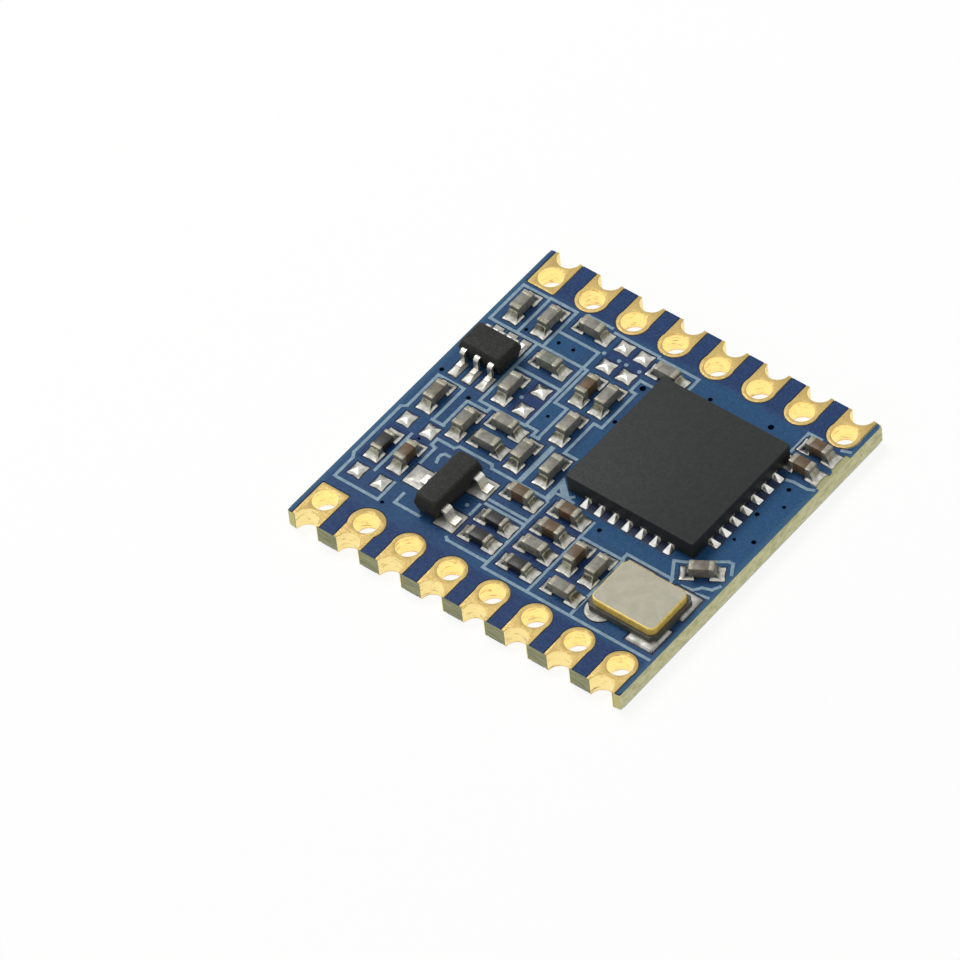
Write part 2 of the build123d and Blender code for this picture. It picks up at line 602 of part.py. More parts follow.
def crystal():
    """The crystal's ceramic base with notched corners, its ring and its lid."""
    plan = Rectangle(CRYSTAL_LENGTH, CRYSTAL_WIDTH)
    for x in (-CRYSTAL_LENGTH / 2, CRYSTAL_LENGTH / 2):
        for y in (-CRYSTAL_WIDTH / 2, CRYSTAL_WIDTH / 2):
            plan -= Pos(x, y) * Circle(CRYSTAL_BASE_NOTCH)
    base = extrude(plan, CRYSTAL_BASE_HEIGHT)
    outline = ring_outline()
    hollow = Rectangle(CRYSTAL_LENGTH - 2 * (RING_INSET + RING_WALL), CRYSTAL_WIDTH - 2 * (RING_INSET + RING_WALL))
    ring = Pos(0, 0, CRYSTAL_BASE_HEIGHT) * extrude(outline - hollow, RING_HEIGHT)
    lid = extrude(outline, LID_THICKNESS)
    lid = fillet(lid.faces().sort_by(Axis.Z)[-1].edges(), LID_EDGE_ROUNDING)
    lid = Pos(0, 0, CRYSTAL_BASE_HEIGHT + RING_HEIGHT) * lid
    place = Pos(CRYSTAL_X, CRYSTAL_Y, LAND_TOP)
    return place * base, place * ring, place * lid


def wedge(run, rise, width):
    """A fillet of solder along +X: a hollow slope that falls from a wall at X = 0 to its land."""
    slope = ThreePointArc((0, rise), (run * FILLET_HOLLOW, rise * FILLET_HOLLOW), (run, 0))
    outline = make_face([slope, Line((run, 0), (0, 0)), Line((0, 0), (0, rise))])
    return extrude(Plane.XZ * outline, width / 2, both=True)


def chip_solder(height):
    """The two tinned lands of a chip part along X, each with the fillet that climbs its metal end."""
    reach = CHIP_LAND_PITCH / 2 + CHIP_LAND_LENGTH / 2
    joints = []
    fillet_solid = Pos(CHIP_LENGTH / 2, 0, LAND_THICKNESS) * wedge(
        reach - CHIP_LENGTH / 2, height * FILLET_CLIMB, CHIP_WIDTH)
    land = extrude(Pos(CHIP_LAND_PITCH / 2, 0) * Rectangle(CHIP_LAND_LENGTH, CHIP_LAND_WIDTH), LAND_THICKNESS)
    for turn in (0, 180):
        joints.append(Rot(0, 0, turn) * (land + fillet_solid))
    return joints


def bare_solder():
    """The two lands of a place with no part, each under a crowned cushion of solder."""
    made = []
    for base in chip_lands():
        crown = Pos(0, 0, BARE_SOLDER_HEIGHT) * scale(base, BARE_SOLDER_CROWN)
        made.append(loft([base, Pos(base.center().X - crown.center().X, 0, 0) * crown]))
    return made


def transceiver_solder():
    """The tinned lands round the transceiver with their fillets, and the one under its paddle."""
    inner = TRANSCEIVER_SIDE / 2 - TERMINAL_LENGTH
    outer = TRANSCEIVER_SIDE / 2 + TERMINAL_LAND_REACH
    half = TERMINAL_LAND_WIDTH / 2
    land = extrude(box_between(inner, outer, -half, half), LAND_THICKNESS)
    land += Pos(TRANSCEIVER_SIDE / 2, 0, LAND_THICKNESS) * wedge(
        TERMINAL_LAND_REACH, TERMINAL_THICKNESS, TERMINAL_WIDTH)
    made = [extrude(Rectangle(PADDLE_SIDE, PADDLE_SIDE), LAND_THICKNESS)]
    for quarter in range(4):
        for offset in terminal_places():
            made.append(Rot(0, 0, 90 * quarter) * Pos(0, offset, 0) * land)
    return [Pos(TRANSCEIVER_X, TRANSCEIVER_Y, 0) * joint for joint in made]


def toe_solder(span, outer, land_length, land_width, lead_width):
    """The tinned land of one lead towards +X, out to a given X, with the fillet at the lead's toe."""
    land = extrude(box_between(outer - land_length, outer, -land_width / 2, land_width / 2), LAND_THICKNESS)
    toe = wedge(outer - span / 2, TOE_SOLDER_HEIGHT, lead_width)
    return land + Pos(span / 2, 0, LAND_THICKNESS) * toe


def lead_solder():
    """The joints of the switch and the regulator."""
    made = []
    for turn, slip in ((90, -SWITCH_SLIP), (270, SWITCH_SLIP)):
        joint = Rot(0, 0, turn) * toe_solder(SWITCH_SPAN, SWITCH_LAND_SPAN / 2 + slip, SWITCH_LAND_LENGTH,
                                             SWITCH_LAND_WIDTH, SWITCH_LEAD_WIDTH)
        for step in (-1, 0, 1):
            made.append(Pos(SWITCH_X + step * SWITCH_LEAD_PITCH, SWITCH_Y + SWITCH_SLIP, 0) * joint)
    half = REGULATOR_LEAD_PITCH / 2
    for turn, offset, slip in ((180, 0, REGULATOR_SLIP), (0, -half, -REGULATOR_SLIP), (0, half, -REGULATOR_SLIP)):
        joint = toe_solder(REGULATOR_SPAN, REGULATOR_LAND_SPAN / 2 + slip, REGULATOR_LAND_LENGTH,
                           REGULATOR_LAND_WIDTH, REGULATOR_LEAD_WIDTH)
        made.append(Pos(REGULATOR_X, REGULATOR_Y + offset, 0) * Rot(0, 0, turn) * joint)
    return made


def crystal_solder():
    """The crystal's four lands: three square and one round, with solder up its base's sides."""
    base = Pos(0, 0, LAND_THICKNESS) * extrude(Rectangle(CRYSTAL_LENGTH, CRYSTAL_WIDTH), CRYSTAL_BASE_HEIGHT)
    made = [extrude(first_crystal_land(), LAND_THICKNESS)]
    for x, y in crystal_land_places()[1:]:
        plate = Pos(x, y) * Rectangle(CRYSTAL_LAND_LENGTH, CRYSTAL_LAND_WIDTH)
        made.append(extrude(plate, LAND_THICKNESS + CRYSTAL_SOLDER_CLIMB, taper=CRYSTAL_SOLDER_TAPER) - base)
    return [Pos(CRYSTAL_X, CRYSTAL_Y, 0) * land for land in made]


def solder():
    """Every tinned land and joint on the board, as separate solids."""
    made = []
    for chip in CHIPS:
        for joint in chip_solder(chip.height):
            made.append(Pos(chip.x, chip.y, 0) * Rot(0, 0, chip.turn) * joint)
    for x, y, turn in BARE_PAIRS:
        for land in bare_solder():
            made.append(Pos(x, y, 0) * Rot(0, 0, turn) * land)
    made += transceiver_solder()
    made += lead_solder()
    made += crystal_solder()
    return together(Pos(0, 0, LAMINATE_TOP), made)


def module():
    """Every node of the module by name."""
    nodes = {"laminate": laminate(), "solder_mask_top": solder_mask_top(),
             "solder_mask_bottom": solder_mask_bottom(), "legend_print": legend(), "solder_joints": solder()}
    nodes.update(contacts())
    nodes.update(chips())
    nodes["transceiver_body"], nodes["transceiver_terminals"] = transceiver()
    nodes["antenna_switch_body"], nodes["antenna_switch_leads"] = antenna_switch()
    nodes["regulator_body"], nodes["regulator_leads"] = regulator()
    nodes["crystal_base"], nodes["crystal_ring"], nodes["crystal_lid"] = crystal()
    return nodes


def main():
    """Write one file for each node."""
    os.makedirs("parts", exist_ok=True)
    for name, shape in module().items():
        export_step(shape, f"parts/{name}.step")


main()
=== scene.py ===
import logging
import math
from dataclasses import dataclass, field, replace
from enum import Enum
from functools import reduce
from typing import Callable, Optional, Sequence, Union

import bpy
from mathutils import Euler, Matrix, Vector


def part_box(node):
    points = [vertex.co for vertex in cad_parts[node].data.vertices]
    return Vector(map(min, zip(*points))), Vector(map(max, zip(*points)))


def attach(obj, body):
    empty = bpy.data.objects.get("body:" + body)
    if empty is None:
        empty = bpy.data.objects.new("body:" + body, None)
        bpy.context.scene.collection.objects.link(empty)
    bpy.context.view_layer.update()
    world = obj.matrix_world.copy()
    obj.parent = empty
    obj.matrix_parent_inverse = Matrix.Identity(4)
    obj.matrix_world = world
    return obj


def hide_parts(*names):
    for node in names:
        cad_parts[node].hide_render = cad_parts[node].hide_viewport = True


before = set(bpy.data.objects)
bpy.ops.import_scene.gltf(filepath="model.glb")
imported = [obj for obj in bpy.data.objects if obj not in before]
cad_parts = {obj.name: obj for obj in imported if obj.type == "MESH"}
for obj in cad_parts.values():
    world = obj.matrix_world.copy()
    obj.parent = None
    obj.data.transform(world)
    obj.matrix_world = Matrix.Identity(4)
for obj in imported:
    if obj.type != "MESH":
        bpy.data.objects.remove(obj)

# A small castellated radio module: a blue board with gold-plated edge contacts, a square transceiver,
# a crystal, two packages with leads and thirty chip parts, all soldered down.
# Pieces are shaped in millimetres and set down in metres, in the frame of the solid model.

log = logging.getLogger("radio_module")
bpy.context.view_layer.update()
MM = 0.001
HAIR = 1e-4                        # levels closer than this are one level
SQUARE_EDGE = math.radians(50)     # edges sharper than this are broken

Triple = tuple[float, float, float]
Colour = tuple[int, int, int]      # as the eye reads it, 0 to 255
Socket = bpy.types.NodeSocket
Material = bpy.types.Material


def tone(colour: Colour) -> tuple[float, float, float, float]:
    """A colour as the eye reads it, made linear for a shader.

    Args:
        colour: Red, green and blue.

    Returns:
        The linear colour, opaque.
    """
    parts = (value / 255 for value in colour)
    linear = [part / 12.92 if part <= 0.04045 else ((part + 0.055) / 1.055) ** 2.4 for part in parts]
    return linear[0], linear[1], linear[2], 1.0


def box_mm(node: str) -> tuple[Vector, Vector]:
    """The lowest and highest corner of a solid, in millimetres."""
    low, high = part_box(node)
    return Vector(low) / MM, Vector(high) / MM


def middle_mm(node: str) -> Vector:
    """The middle of a solid's box, in millimetres."""
    low, high = box_mm(node)
    return (low + high) / 2


LAMINATE_TOP = box_mm("laminate")[1].z
MASK_TOP = box_mm("solder_mask_top")[1].z
LAND_TOP = box_mm("transceiver_body")[0].z


# Modelling

class Element(Enum):
    """What an edit-mode selection is made of."""
    FACE = "FACE"
    EDGE = "EDGE"
    VERT = "VERT"


def upright(a: Vector, b: Vector) -> bool:
    """Whether an edge between two points stands on end."""
    return abs(a.z - b.z) > 0.01


def facing_up(centre: Vector, normal: Vector) -> bool:
    """Whether a face looks up."""
    return normal.z > 0.9


class Bench:
    """One mesh on the bench, in millimetres, shaped with the modelling operators."""

    def __init__(self, name: str) -> None:
        """Name the piece to come."""
        self.name = name
        self.obj: Optional[bpy.types.Object] = None

    @staticmethod
    def mark(index: int) -> Material:
        """The stand-in that keeps the faces of one finish apart until the piece is dressed."""
        name = f"finish_{index}"
        return bpy.data.materials.get(name) or bpy.data.materials.new(name)

    @staticmethod
    def clear() -> None:
        """Leave edit mode and deselect everything."""
        if bpy.context.object and bpy.context.object.mode != "OBJECT":
            bpy.ops.object.mode_set(mode="OBJECT")
        bpy.ops.object.select_all(action="DESELECT")

    def rename(self, name: str) -> "Bench":
        """Give the piece another name."""
        self.name = self.obj.name = name
        return self

    def pick_up(self) -> None:
        """Make this piece the only one selected."""
        self.clear()
        self.obj.select_set(True)
        bpy.context.view_layer.objects.active = self.obj

    def _open(self, action: str) -> None:
        """Enter edit mode with everything or nothing selected.

        Args:
            action: SELECT or DESELECT.
        """
        self.pick_up()
        bpy.ops.object.mode_set(mode="EDIT")
        bpy.ops.mesh.select_all(action=action)

    def _take(self) -> "Bench":
        """Keep the primitive just added, with its place in its mesh.

        Returns:
            This piece.
        """
        self.obj = bpy.context.active_object
        self.obj.name = self.name
        self.obj.data.materials.append(self.mark(0))
        bpy.ops.object.transform_apply(location=True, rotation=True, scale=True)
        return self

    def block(self, low: Triple, high: Triple) -> "Bench":
        """Start from a block.

        Args:
            low: Its lowest corner.
            high: Its highest corner.

        Returns:
            This piece.
        """
        self.clear()
        place = [(a + b) / 2 for a, b in zip(low, high)]
        size = [b - a for a, b in zip(low, high)]
        bpy.ops.mesh.primitive_cube_add(size=1, location=place, scale=size)
        return self._take()

    def drum(self, x: float, y: float, low: float, high: float, radius: float, sides: int = 64) -> "Bench":
        """Start from an upright drum.

        Args:
            x: Place of its axis.
            y: Place of its axis.
            low: Level of its foot.
            high: Level of its top.
            radius: Its radius.
            sides: How many sides approach the circle.

        Returns:
            This piece.
        """
        self.clear()
        bpy.ops.mesh.primitive_cylinder_add(vertices=sides, radius=radius, depth=high - low,
                                            location=(x, y, (low + high) / 2))
        return self._take()

    def select(self, element: Element, test: Callable) -> "Bench":
        """Select faces, edges or vertices in edit mode by their place.

        Args:
            element: What is selected.
            test: Takes the middle and the normal of a face, both ends of an edge, or a vertex.

        Returns:
            This piece, in edit mode.
        """
        self.pick_up()
        bpy.ops.object.mode_set(mode="EDIT")
        bpy.ops.mesh.select_mode(type=element.value)
        bpy.ops.mesh.select_all(action="DESELECT")
        bpy.ops.object.mode_set(mode="OBJECT")
        mesh = self.obj.data
        parts, place = {
            Element.FACE: (mesh.polygons, lambda face: (face.center, face.normal)),
            Element.EDGE: (mesh.edges, lambda edge: [mesh.vertices[end].co for end in edge.vertices]),
            Element.VERT: (mesh.vertices, lambda vertex: (vertex.co,))}[element]
        for part in parts:
            part.select = bool(test(*place(part)))
        bpy.ops.object.mode_set(mode="EDIT")
        return self

    def bevel(self, width: float, segments: int = 2, test: Optional[Callable] = None) -> "Bench":
        """Round the edges that a test takes, or all of them.

        Args:
            width: Width of the rounding.
            segments: How many strips it has.
            test: Takes both ends of an edge.

        Returns:
            This piece.
        """
        self.select(Element.EDGE, test or (lambda a, b: True))
        bpy.ops.mesh.bevel(offset=width, segments=segments, affect="EDGES", clamp_overlap=True)
        self.clear()
        return self

    def bevel_rim(self, width: float, segments: int, level: float) -> "Bench":
        """Round the edges that lie at one level or above it."""
        return self.bevel(width, segments, lambda a, b: min(a.z, b.z) > level - HAIR)

    def break_edges(self, width: float, segments: int, angle: float = SQUARE_EDGE) -> "Bench":
        """Round every edge that is sharper than an angle."""
        return self.modify("BEVEL", width=width, segments=segments, limit_method="ANGLE", angle_limit=angle)

    def split_at(self, place: Triple, normal: Triple = (0, 0, 1), keep_below: bool = False) -> "Bench":
        """Cut along a plane.

        Args:
            place: A point on the plane.
            normal: The way it faces.
            keep_below: Throw away what lies on the plane's outer side, and close the cut.

        Returns:
            This piece.
        """
        self._open("SELECT")
        bpy.ops.mesh.bisect(plane_co=place, plane_no=normal, use_fill=keep_below, clear_outer=keep_below)
        self.clear()
        return self

    def halve(self) -> "Bench":
        """Cut every edge in half.

        Returns:
            This piece.
        """
        self._open("SELECT")
        bpy.ops.mesh.subdivide(number_cuts=1)
        self.clear()
        return self

    def spread(self, factor: Triple, centre: Triple) -> "Bench":
        """Resize what is selected about a point that stays.

        Args:
            factor: Factor along each axis.
            centre: The point.

        Returns:
            This piece.
        """
        bpy.ops.transform.resize(value=factor, center_override=centre)
        self.clear()
        return self

    def modify(self, kind: str, **settings: object) -> "Bench":
        """Apply one modifier.

        Args:
            kind: Its type.
            settings: Its settings.

        Returns:
            This piece.
        """
        self.pick_up()
        modifier = self.obj.modifiers.new(kind.lower(), kind)
        for key, value in settings.items():
            setattr(modifier, key, value)
        bpy.ops.object.modifier_apply(modifier=modifier.name)
        return self

    def smooth_out(self, levels: int) -> "Bench":
        """Round the whole form by subdivision."""
        return self.modify("SUBSURF", levels=levels, render_levels=levels)

    def combine(self, tool: "Bench", operation: str = "DIFFERENCE") -> "Bench":
        """Cut with another piece, or fuse it on, and throw it away.

        Args:
            tool: The other piece.
            operation: DIFFERENCE or UNION.

        Returns:
            This piece.
        """
        self.modify("BOOLEAN", object=tool.obj, operation=operation, solver="EXACT")
        tool.drop()
        return self

    def join(self, others: Sequence["Bench"]) -> "Bench":
        """Make one mesh of this piece and others.

        Args:
            others: The other pieces.

        Returns:
            This piece.
        """
        self.pick_up()
        for other in others:
            other.obj.select_set(True)
        bpy.ops.object.join()
        return self

    def twin(self, name: str, place: Triple, turn: float = 0.0) -> "Bench":
        """A copy with a mesh of its own, turned about Z and set down elsewhere.

        Args:
            name: Name of the copy.
            place: Where its own zero goes.
            turn: Turn in degrees.

        Returns:
            The copy.
        """
        copy = Bench(name)
        copy.obj = self.obj.copy()
        copy.obj.data = self.obj.data.copy()
        copy.obj.name = name
        bpy.context.scene.collection.objects.link(copy.obj)
        copy.obj.location = place
        copy.obj.rotation_euler = Euler((0, 0, math.radians(turn)))
        copy.pick_up()
        bpy.ops.object.transform_apply(location=True, rotation=True, scale=True)
        return copy

    def roughen(self, strength: float, grain: float) -> "Bench":
        """Push the surface in and out a little, as a cast or drawn surface is.

        Args:
            strength: How far, in millimetres.
            grain: Size of the swells.

        Returns:
            This piece.
        """
        clouds = bpy.data.textures.new(self.name + "_swell", "CLOUDS")
        clouds.noise_scale = grain
        clouds.noise_depth = 2
        return self.modify("DISPLACE", texture=clouds, strength=strength, mid_level=0.5,
                           texture_coords="GLOBAL")

    def drop(self) -> None:
        """Throw the piece away."""
        bpy.data.objects.remove(self.obj)

    def paint_faces(self, index: int, test: Callable[[Vector, Vector], bool]) -> "Bench":
        """Give the faces that a test takes another finish.

        Args:
            index: Which of the piece's finishes.
            test: Takes the middle and the normal of a face.

        Returns:
            This piece.
        """
        mark = self.mark(index)
        if mark.name not in self.obj.data.materials:
            self.obj.data.materials.append(mark)
        slot = self.obj.data.materials.find(mark.name)
        for face in self.obj.data.polygons:
            if test(face.center, face.normal):
                face.material_index = slot
        return self

    def seat(self, finishes: Sequence[Material], slot: str, nodes: Sequence[str] = (),
             smooth: float = 40.0) -> None:
        """Set the finished piece down in metres, dressed, and hand it to the frame.

        Args:
            finishes: The piece's finishes, in the order of their marks.
            slot: Not used.
            nodes: Solids that the piece stands for.
            smooth: Edges below this angle, in degrees, are shaded smooth.
        """
        self.pick_up()
        self.obj.scale = (MM, MM, MM)
        bpy.ops.object.transform_apply(location=True, rotation=True, scale=True)
        bpy.ops.object.shade_smooth_by_angle(angle=math.radians(smooth))
        for marked in self.obj.material_slots:
            marked.material = finishes[int(marked.material.name.split("_")[-1])]
        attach(self.obj, "root")
        if nodes:
            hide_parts(*nodes)
        log.info("%s: %d faces", self.name, len(self.obj.data.polygons))


# Finishes

class Graph:
    """Adds and joins the nodes of one tree."""

    def __init__(self, tree: bpy.types.NodeTree) -> None:
        """Hold a tree."""
        self.tree = tree

    def feed(self, node: bpy.types.Node, key: Union[str, int], value: object) -> None:
        """Give an input a value, or join another node's socket to it.

        Args:
            node: The node.
            key: The input's name or number.
            value: The value or the socket.
        """
        if isinstance(value, bpy.types.NodeSocket):
            self.tree.links.new(value, node.inputs[key])
        else:
            node.inputs[key].default_value = value

    def add(self, kind: str, inputs: Optional[dict] = None, **settings: object) -> Sequence[Socket]:
        """Add a node, set it up and feed it.

        Args:
            kind: The node's type, without ShaderNode.
            inputs: What each input is fed, by name or number.
            settings: The node's own settings.

        Returns:
            The node's outputs.
        """
        node = self.tree.nodes.new("ShaderNode" + kind)
        for key, value in settings.items():
            setattr(node, key, value)
        for key, value in (inputs or {}).items():
            self.feed(node, key, value)
        return node.outputs

    def math(self, operation: str, first: object, second: object = 0.0) -> Socket:
        """One sum on one or two values or sockets."""
        return self.add("Math", {0: first, 1: second}, operation=operation)[0]

    def vector(self, operation: str, first: object, second: object = (0.0, 0.0, 0.0)) -> Socket:
        """One sum on one or two vectors or sockets."""
        return self.add("VectorMath", {0: first, 1: second}, operation=operation)[0]

    def parts(self, vector: Socket) -> Sequence[Socket]:
        """The X, Y and Z of a vector."""
        return self.add("SeparateXYZ", {0: vector})

    def blend(self, mask: Socket, first: Union[Colour, Socket], second: Union[Colour, Socket],
              share: float = 1.0) -> Socket:
        """Mix two colours by a mask.

        Args:
            mask: 0 gives the first colour, 1 the second.
            first: Colour or socket.
            second: Colour or socket.
            share: How much of the second a full mask gives.

        Returns:
            The colour's socket.
        """
        if share < 1:
            mask = self.math("MULTIPLY", mask, share)
        first, second = (tone(part) if isinstance(part, tuple) else part for part in (first, second))
        return self.add("Mix", {0: mask, 6: first, 7: second}, data_type="RGBA")[2]

    def stretch(self, value: object, low: object, high: object, to_low: float = 0.0,
                to_high: float = 1.0) -> Socket:
        """Map one range of a value to another, held at its ends.

        Args:
            value: Value or socket.
            low: Start of the range.
            high: End of the range.
            to_low: What its start becomes.
            to_high: What its end becomes.

        Returns:
            The result's socket.
        """
        return self.add("MapRange", {0: value, 1: low, 2: high, 3: to_low, 4: to_high},
                        interpolation_type="SMOOTHSTEP")[0]

    def effect(self, group: bpy.types.NodeTree, **inputs: object) -> Socket:
        """Place one of the shared effects.

        Args:
            group: The effect.
            inputs: What each of its inputs is fed.

        Returns:
            The effect's socket.
        """
        node = self.tree.nodes.new("ShaderNodeGroup")
        node.node_tree = group
        for key, value in inputs.items():
            self.feed(node, key, value)
        return node.outputs[0]


class Effects:
    """The effects that several finishes share, each built once as a group."""

    def __init__(self) -> None:
        """Build every effect."""
        self.mottle = self._group("mottle", "Mask", self._mottle, Scale="Float", Low="Float", High="Float")
        self.grain = self._group("grain", "Height", self._grain, Fine="Float", Coarse="Float", Share="Float")
        self.zone = self._group("zone", "Mask", self._zone, Centre="Vector", Reach="Vector", Soft="Float")
        self.fibres = self._group("fibres", "Mask", self._fibres, Across="Vector", Low="Float", High="Float")

    @staticmethod
    def _group(name: str, result: str, build: Callable, **inputs: str) -> bpy.types.NodeTree:
        """Make one group.

        Args:
            name: Its name.
            result: Name of what it puts out.
            build: Takes its graph and its inputs, and returns the socket that it puts out.
            inputs: Kind of each input besides the place.

        Returns:
            The group.
        """
        tree = bpy.data.node_groups.new(name, "ShaderNodeTree")
        for label, kind in {"Place": "Vector", **inputs}.items():
            tree.interface.new_socket(name=label, in_out="INPUT", socket_type="NodeSocket" + kind)
        tree.interface.new_socket(name=result, in_out="OUTPUT", socket_type="NodeSocketFloat")
        given, taken = tree.nodes.new("NodeGroupInput"), tree.nodes.new("NodeGroupOutput")
        tree.links.new(build(Graph(tree), given.outputs), taken.inputs[result])
        return tree

    @staticmethod
    def _mottle(graph: Graph, given: Sequence[Socket]) -> Socket:
        """Soft blotches."""
        inputs = {"Vector": given["Place"], "Scale": given["Scale"], "Detail": 4.0, "Roughness": 0.55}
        return graph.stretch(graph.add("TexNoise", inputs)[0], given["Low"], given["High"])

    @staticmethod
    def _grain(graph: Graph, given: Sequence[Socket]) -> Socket:
        """Fine and coarse unevenness.

        Args:
            graph: The group's graph.
            given: The group's inputs.

        Returns:
            The height's socket.
        """
        noises = [graph.add("TexNoise", {"Vector": given["Place"], "Scale": given[size], "Detail": detail})[0]
                  for size, detail in (("Fine", 3.0), ("Coarse", 2.0))]
        return graph.add("Mix", {0: given["Share"], 2: noises[0], 3: noises[1]})[0]

    @staticmethod
    def _zone(graph: Graph, given: Sequence[Socket]) -> Socket:
        """A soft-edged upright box.

        Args:
            graph: The group's graph.
            given: The group's inputs.

        Returns:
            The mask's socket.
        """
        offset = graph.vector("ABSOLUTE", graph.vector("SUBTRACT", given["Place"], given["Centre"]))
        across, along, _ = graph.parts(graph.vector("SUBTRACT", offset, given["Reach"]))
        return graph.stretch(graph.math("MAXIMUM", across, along), given["Soft"], 0.0)

    @staticmethod
    def _fibres(graph: Graph, given: Sequence[Socket]) -> Socket:
        """Glass-fibre bundles as streaks along a surface.

        Args:
            graph: The group's graph.
            given: The group's inputs.

        Returns:
            The mask's socket.
        """
        drawn = graph.vector("MULTIPLY", given["Place"], given["Across"])
        noise = graph.add("TexNoise", {"Vector": drawn, "Scale": 1.0, "Detail": 5.0, "Roughness": 0.65})[0]
        return graph.add("MapRange", {0: noise, 1: given["Low"], 2: given["High"]})[0]


class Skin(Graph):
    """The tree of one finish, with the place on the piece in millimetres and the shared effects."""

    def __init__(self, tree: bpy.types.NodeTree, effects: Effects) -> None:
        """Hold a tree and read the place.

        Args:
            tree: The tree.
            effects: The shared effects.
        """
        super().__init__(tree)
        self.effects = effects
        own = self.add("TexCoord")["Object"]
        self.place = self.add("VectorMath", {0: own, 3: 1 / MM}, operation="SCALE")[0]

    def spots(self, scale: float, low: float, high: float, place: Optional[Socket] = None) -> Socket:
        """Soft blotches as a mask, by size and by where in the noise they start and are full."""
        return self.effect(self.effects.mottle, Place=place or self.place, Scale=scale, Low=low, High=high)

    def streaks(self, across: Triple, low: float, high: float) -> Socket:
        """Fibres drawn out along the surface as a mask."""
        return self.effect(self.effects.fibres, Place=self.place, Across=across, Low=low, High=high)

    def normal(self) -> Sequence[Socket]:
        """The size of each part of the surface's own normal."""
        return [self.math("ABSOLUTE", part) for part in self.parts(self.add("NewGeometry")["True Normal"])]


@dataclass(frozen=True, kw_only=True)
class Finish:
    """What every finish has: its plain values and its relief. Each kind of finish adds its colours."""
    name: str
    metallic: float = 0.0
    roughness: float = 0.5
    uneven: float = 0.15      # how much the roughness varies
    relief: float = 0.2       # strength of the bump
    depth: float = 0.01       # height of the bump in millimetres
    fine: float = 30.0        # grains a millimetre, fine and coarse
    coarse: float = 6.0
    share: float = 0.4        # share of the coarse ones
    coat: float = 0.0
    coat_roughness: float = 0.12
    shine: float = 0.5
    glow: float = 0.0         # painted light: emission in the finish's own colour, standing in for light bounced between close bright walls

    def colour(self, skin: Skin) -> Socket:
        """The colour over the surface."""
        raise NotImplementedError

    def make(self, effects: Effects) -> Material:
        """Build the material.

        Args:
            effects: The shared effects.

        Returns:
            The material.
        """
        material = bpy.data.materials.new(self.name)
        material.use_nodes = True
        skin = Skin(material.node_tree, effects)
        grain = skin.effect(effects.grain, Place=skin.place, Fine=self.fine, Coarse=self.coarse,
                            Share=self.share)
        rough = skin.stretch(grain, 0.3, 0.7, self.roughness - self.uneven, self.roughness + self.uneven)
        bump = skin.add("Bump", {"Strength": self.relief, "Distance": self.depth * MM, "Height": grain})[0]
        colour = self.colour(skin)
        fed = {"Metallic": self.metallic, "Coat Weight": self.coat, "Coat Roughness": self.coat_roughness,
               "Specular IOR Level": self.shine, "Roughness": rough, "Normal": bump, "Base Color": colour,
               "Emission Strength": self.glow}
        # painted light: the finish glows in its own colour
        if self.glow:
            fed["Emission Color"] = colour
        for key, value in fed.items():
            skin.feed(material.node_tree.nodes["Principled BSDF"], key, value)
        return material


@dataclass(frozen=True, kw_only=True)
class Mottled(Finish):
    """Two close colours in soft blotches, with stains of a third."""
    main: Colour
    second: Colour
    stain: Colour
    blotch: float = 3.0       # blotches a millimetre
    stained: float = 0.62     # where in the noise the stains start
    stain_scale: float = 5.0
    stain_fade: float = 0.12
    shift: Triple = (7.3, 3.1, 1.7)     # keeps the stains off the blotches

    def colour(self, skin: Skin) -> Socket:
        """Blotches, then stains elsewhere in the same noise.

        Args:
            skin: The finish's tree.

        Returns:
            The colour's socket.
        """
        soft = skin.spots(self.blotch, 0.35, 0.65)
        stains = skin.spots(self.stain_scale, self.stained, self.stained + self.stain_fade,
                            skin.vector("ADD", skin.place, self.shift))
        return skin.blend(stains, skin.blend(soft, self.main, self.second), self.stain)


@dataclass(frozen=True, kw_only=True)
class MaskFinish(Finish):
    """Blue solder mask over copper and over bare laminate, which show through as two blues."""
    over_copper: Colour
    over_laminate: Colour
    near_contacts: Colour
    near_edge: Colour
    fleck: Colour
    contact_line: float = 6.12     # where the strips at the contacts begin, and how far they fade in
    contact_fade: float = 0.25
    edge_line: float = 7.55
    edge_end: float = 7.9
    poured: tuple = ()             # boxes of copper: middle and half size along X and Y, in millimetres
    cleared: tuple = ()            # boxes with no copper
    box_height: float = 9.0        # more than the board's, so that a box takes all of it
    box_fade: float = 0.07

    def _boxes(self, skin: Skin, boxes: Sequence[tuple]) -> Socket:
        """One mask for several boxes.

        Args:
            skin: The finish's tree.
            boxes: The boxes.

        Returns:
            The mask's socket.
        """
        masks = [skin.effect(skin.effects.zone, Place=skin.place, Centre=(x, y, 0.0),
                             Reach=(wide, deep, self.box_height), Soft=self.box_fade)
                 for x, y, wide, deep in boxes]
        return reduce(lambda one, other: skin.math("MAXIMUM", one, other), masks)

    def colour(self, skin: Skin) -> Socket:
        """Copper, then clearings, the strips at the contacts, the rims and a fine fleck.

        Args:
            skin: The finish's tree.

        Returns:
            The colour's socket.
        """
        colour = skin.blend(skin.spots(0.55, 0.38, 0.62), self.over_laminate, self.over_copper, 0.5)
        if self.poured:
            colour = skin.blend(self._boxes(skin, self.poured), colour, self.over_copper, 0.8)
        if self.cleared:
            colour = skin.blend(self._boxes(skin, self.cleared), colour, self.near_contacts)
        along, across, _ = (skin.math("ABSOLUTE", part) for part in skin.parts(skin.place))
        strip = skin.stretch(across, self.contact_line, self.contact_line + self.contact_fade)
        colour = skin.blend(strip, colour, self.near_contacts, 0.85)
        colour = skin.blend(skin.stretch(along, self.edge_line, self.edge_end), colour, self.near_edge, 0.65)
        return skin.blend(skin.spots(9.0, 0.3, 0.75), colour, self.fleck, 0.16)


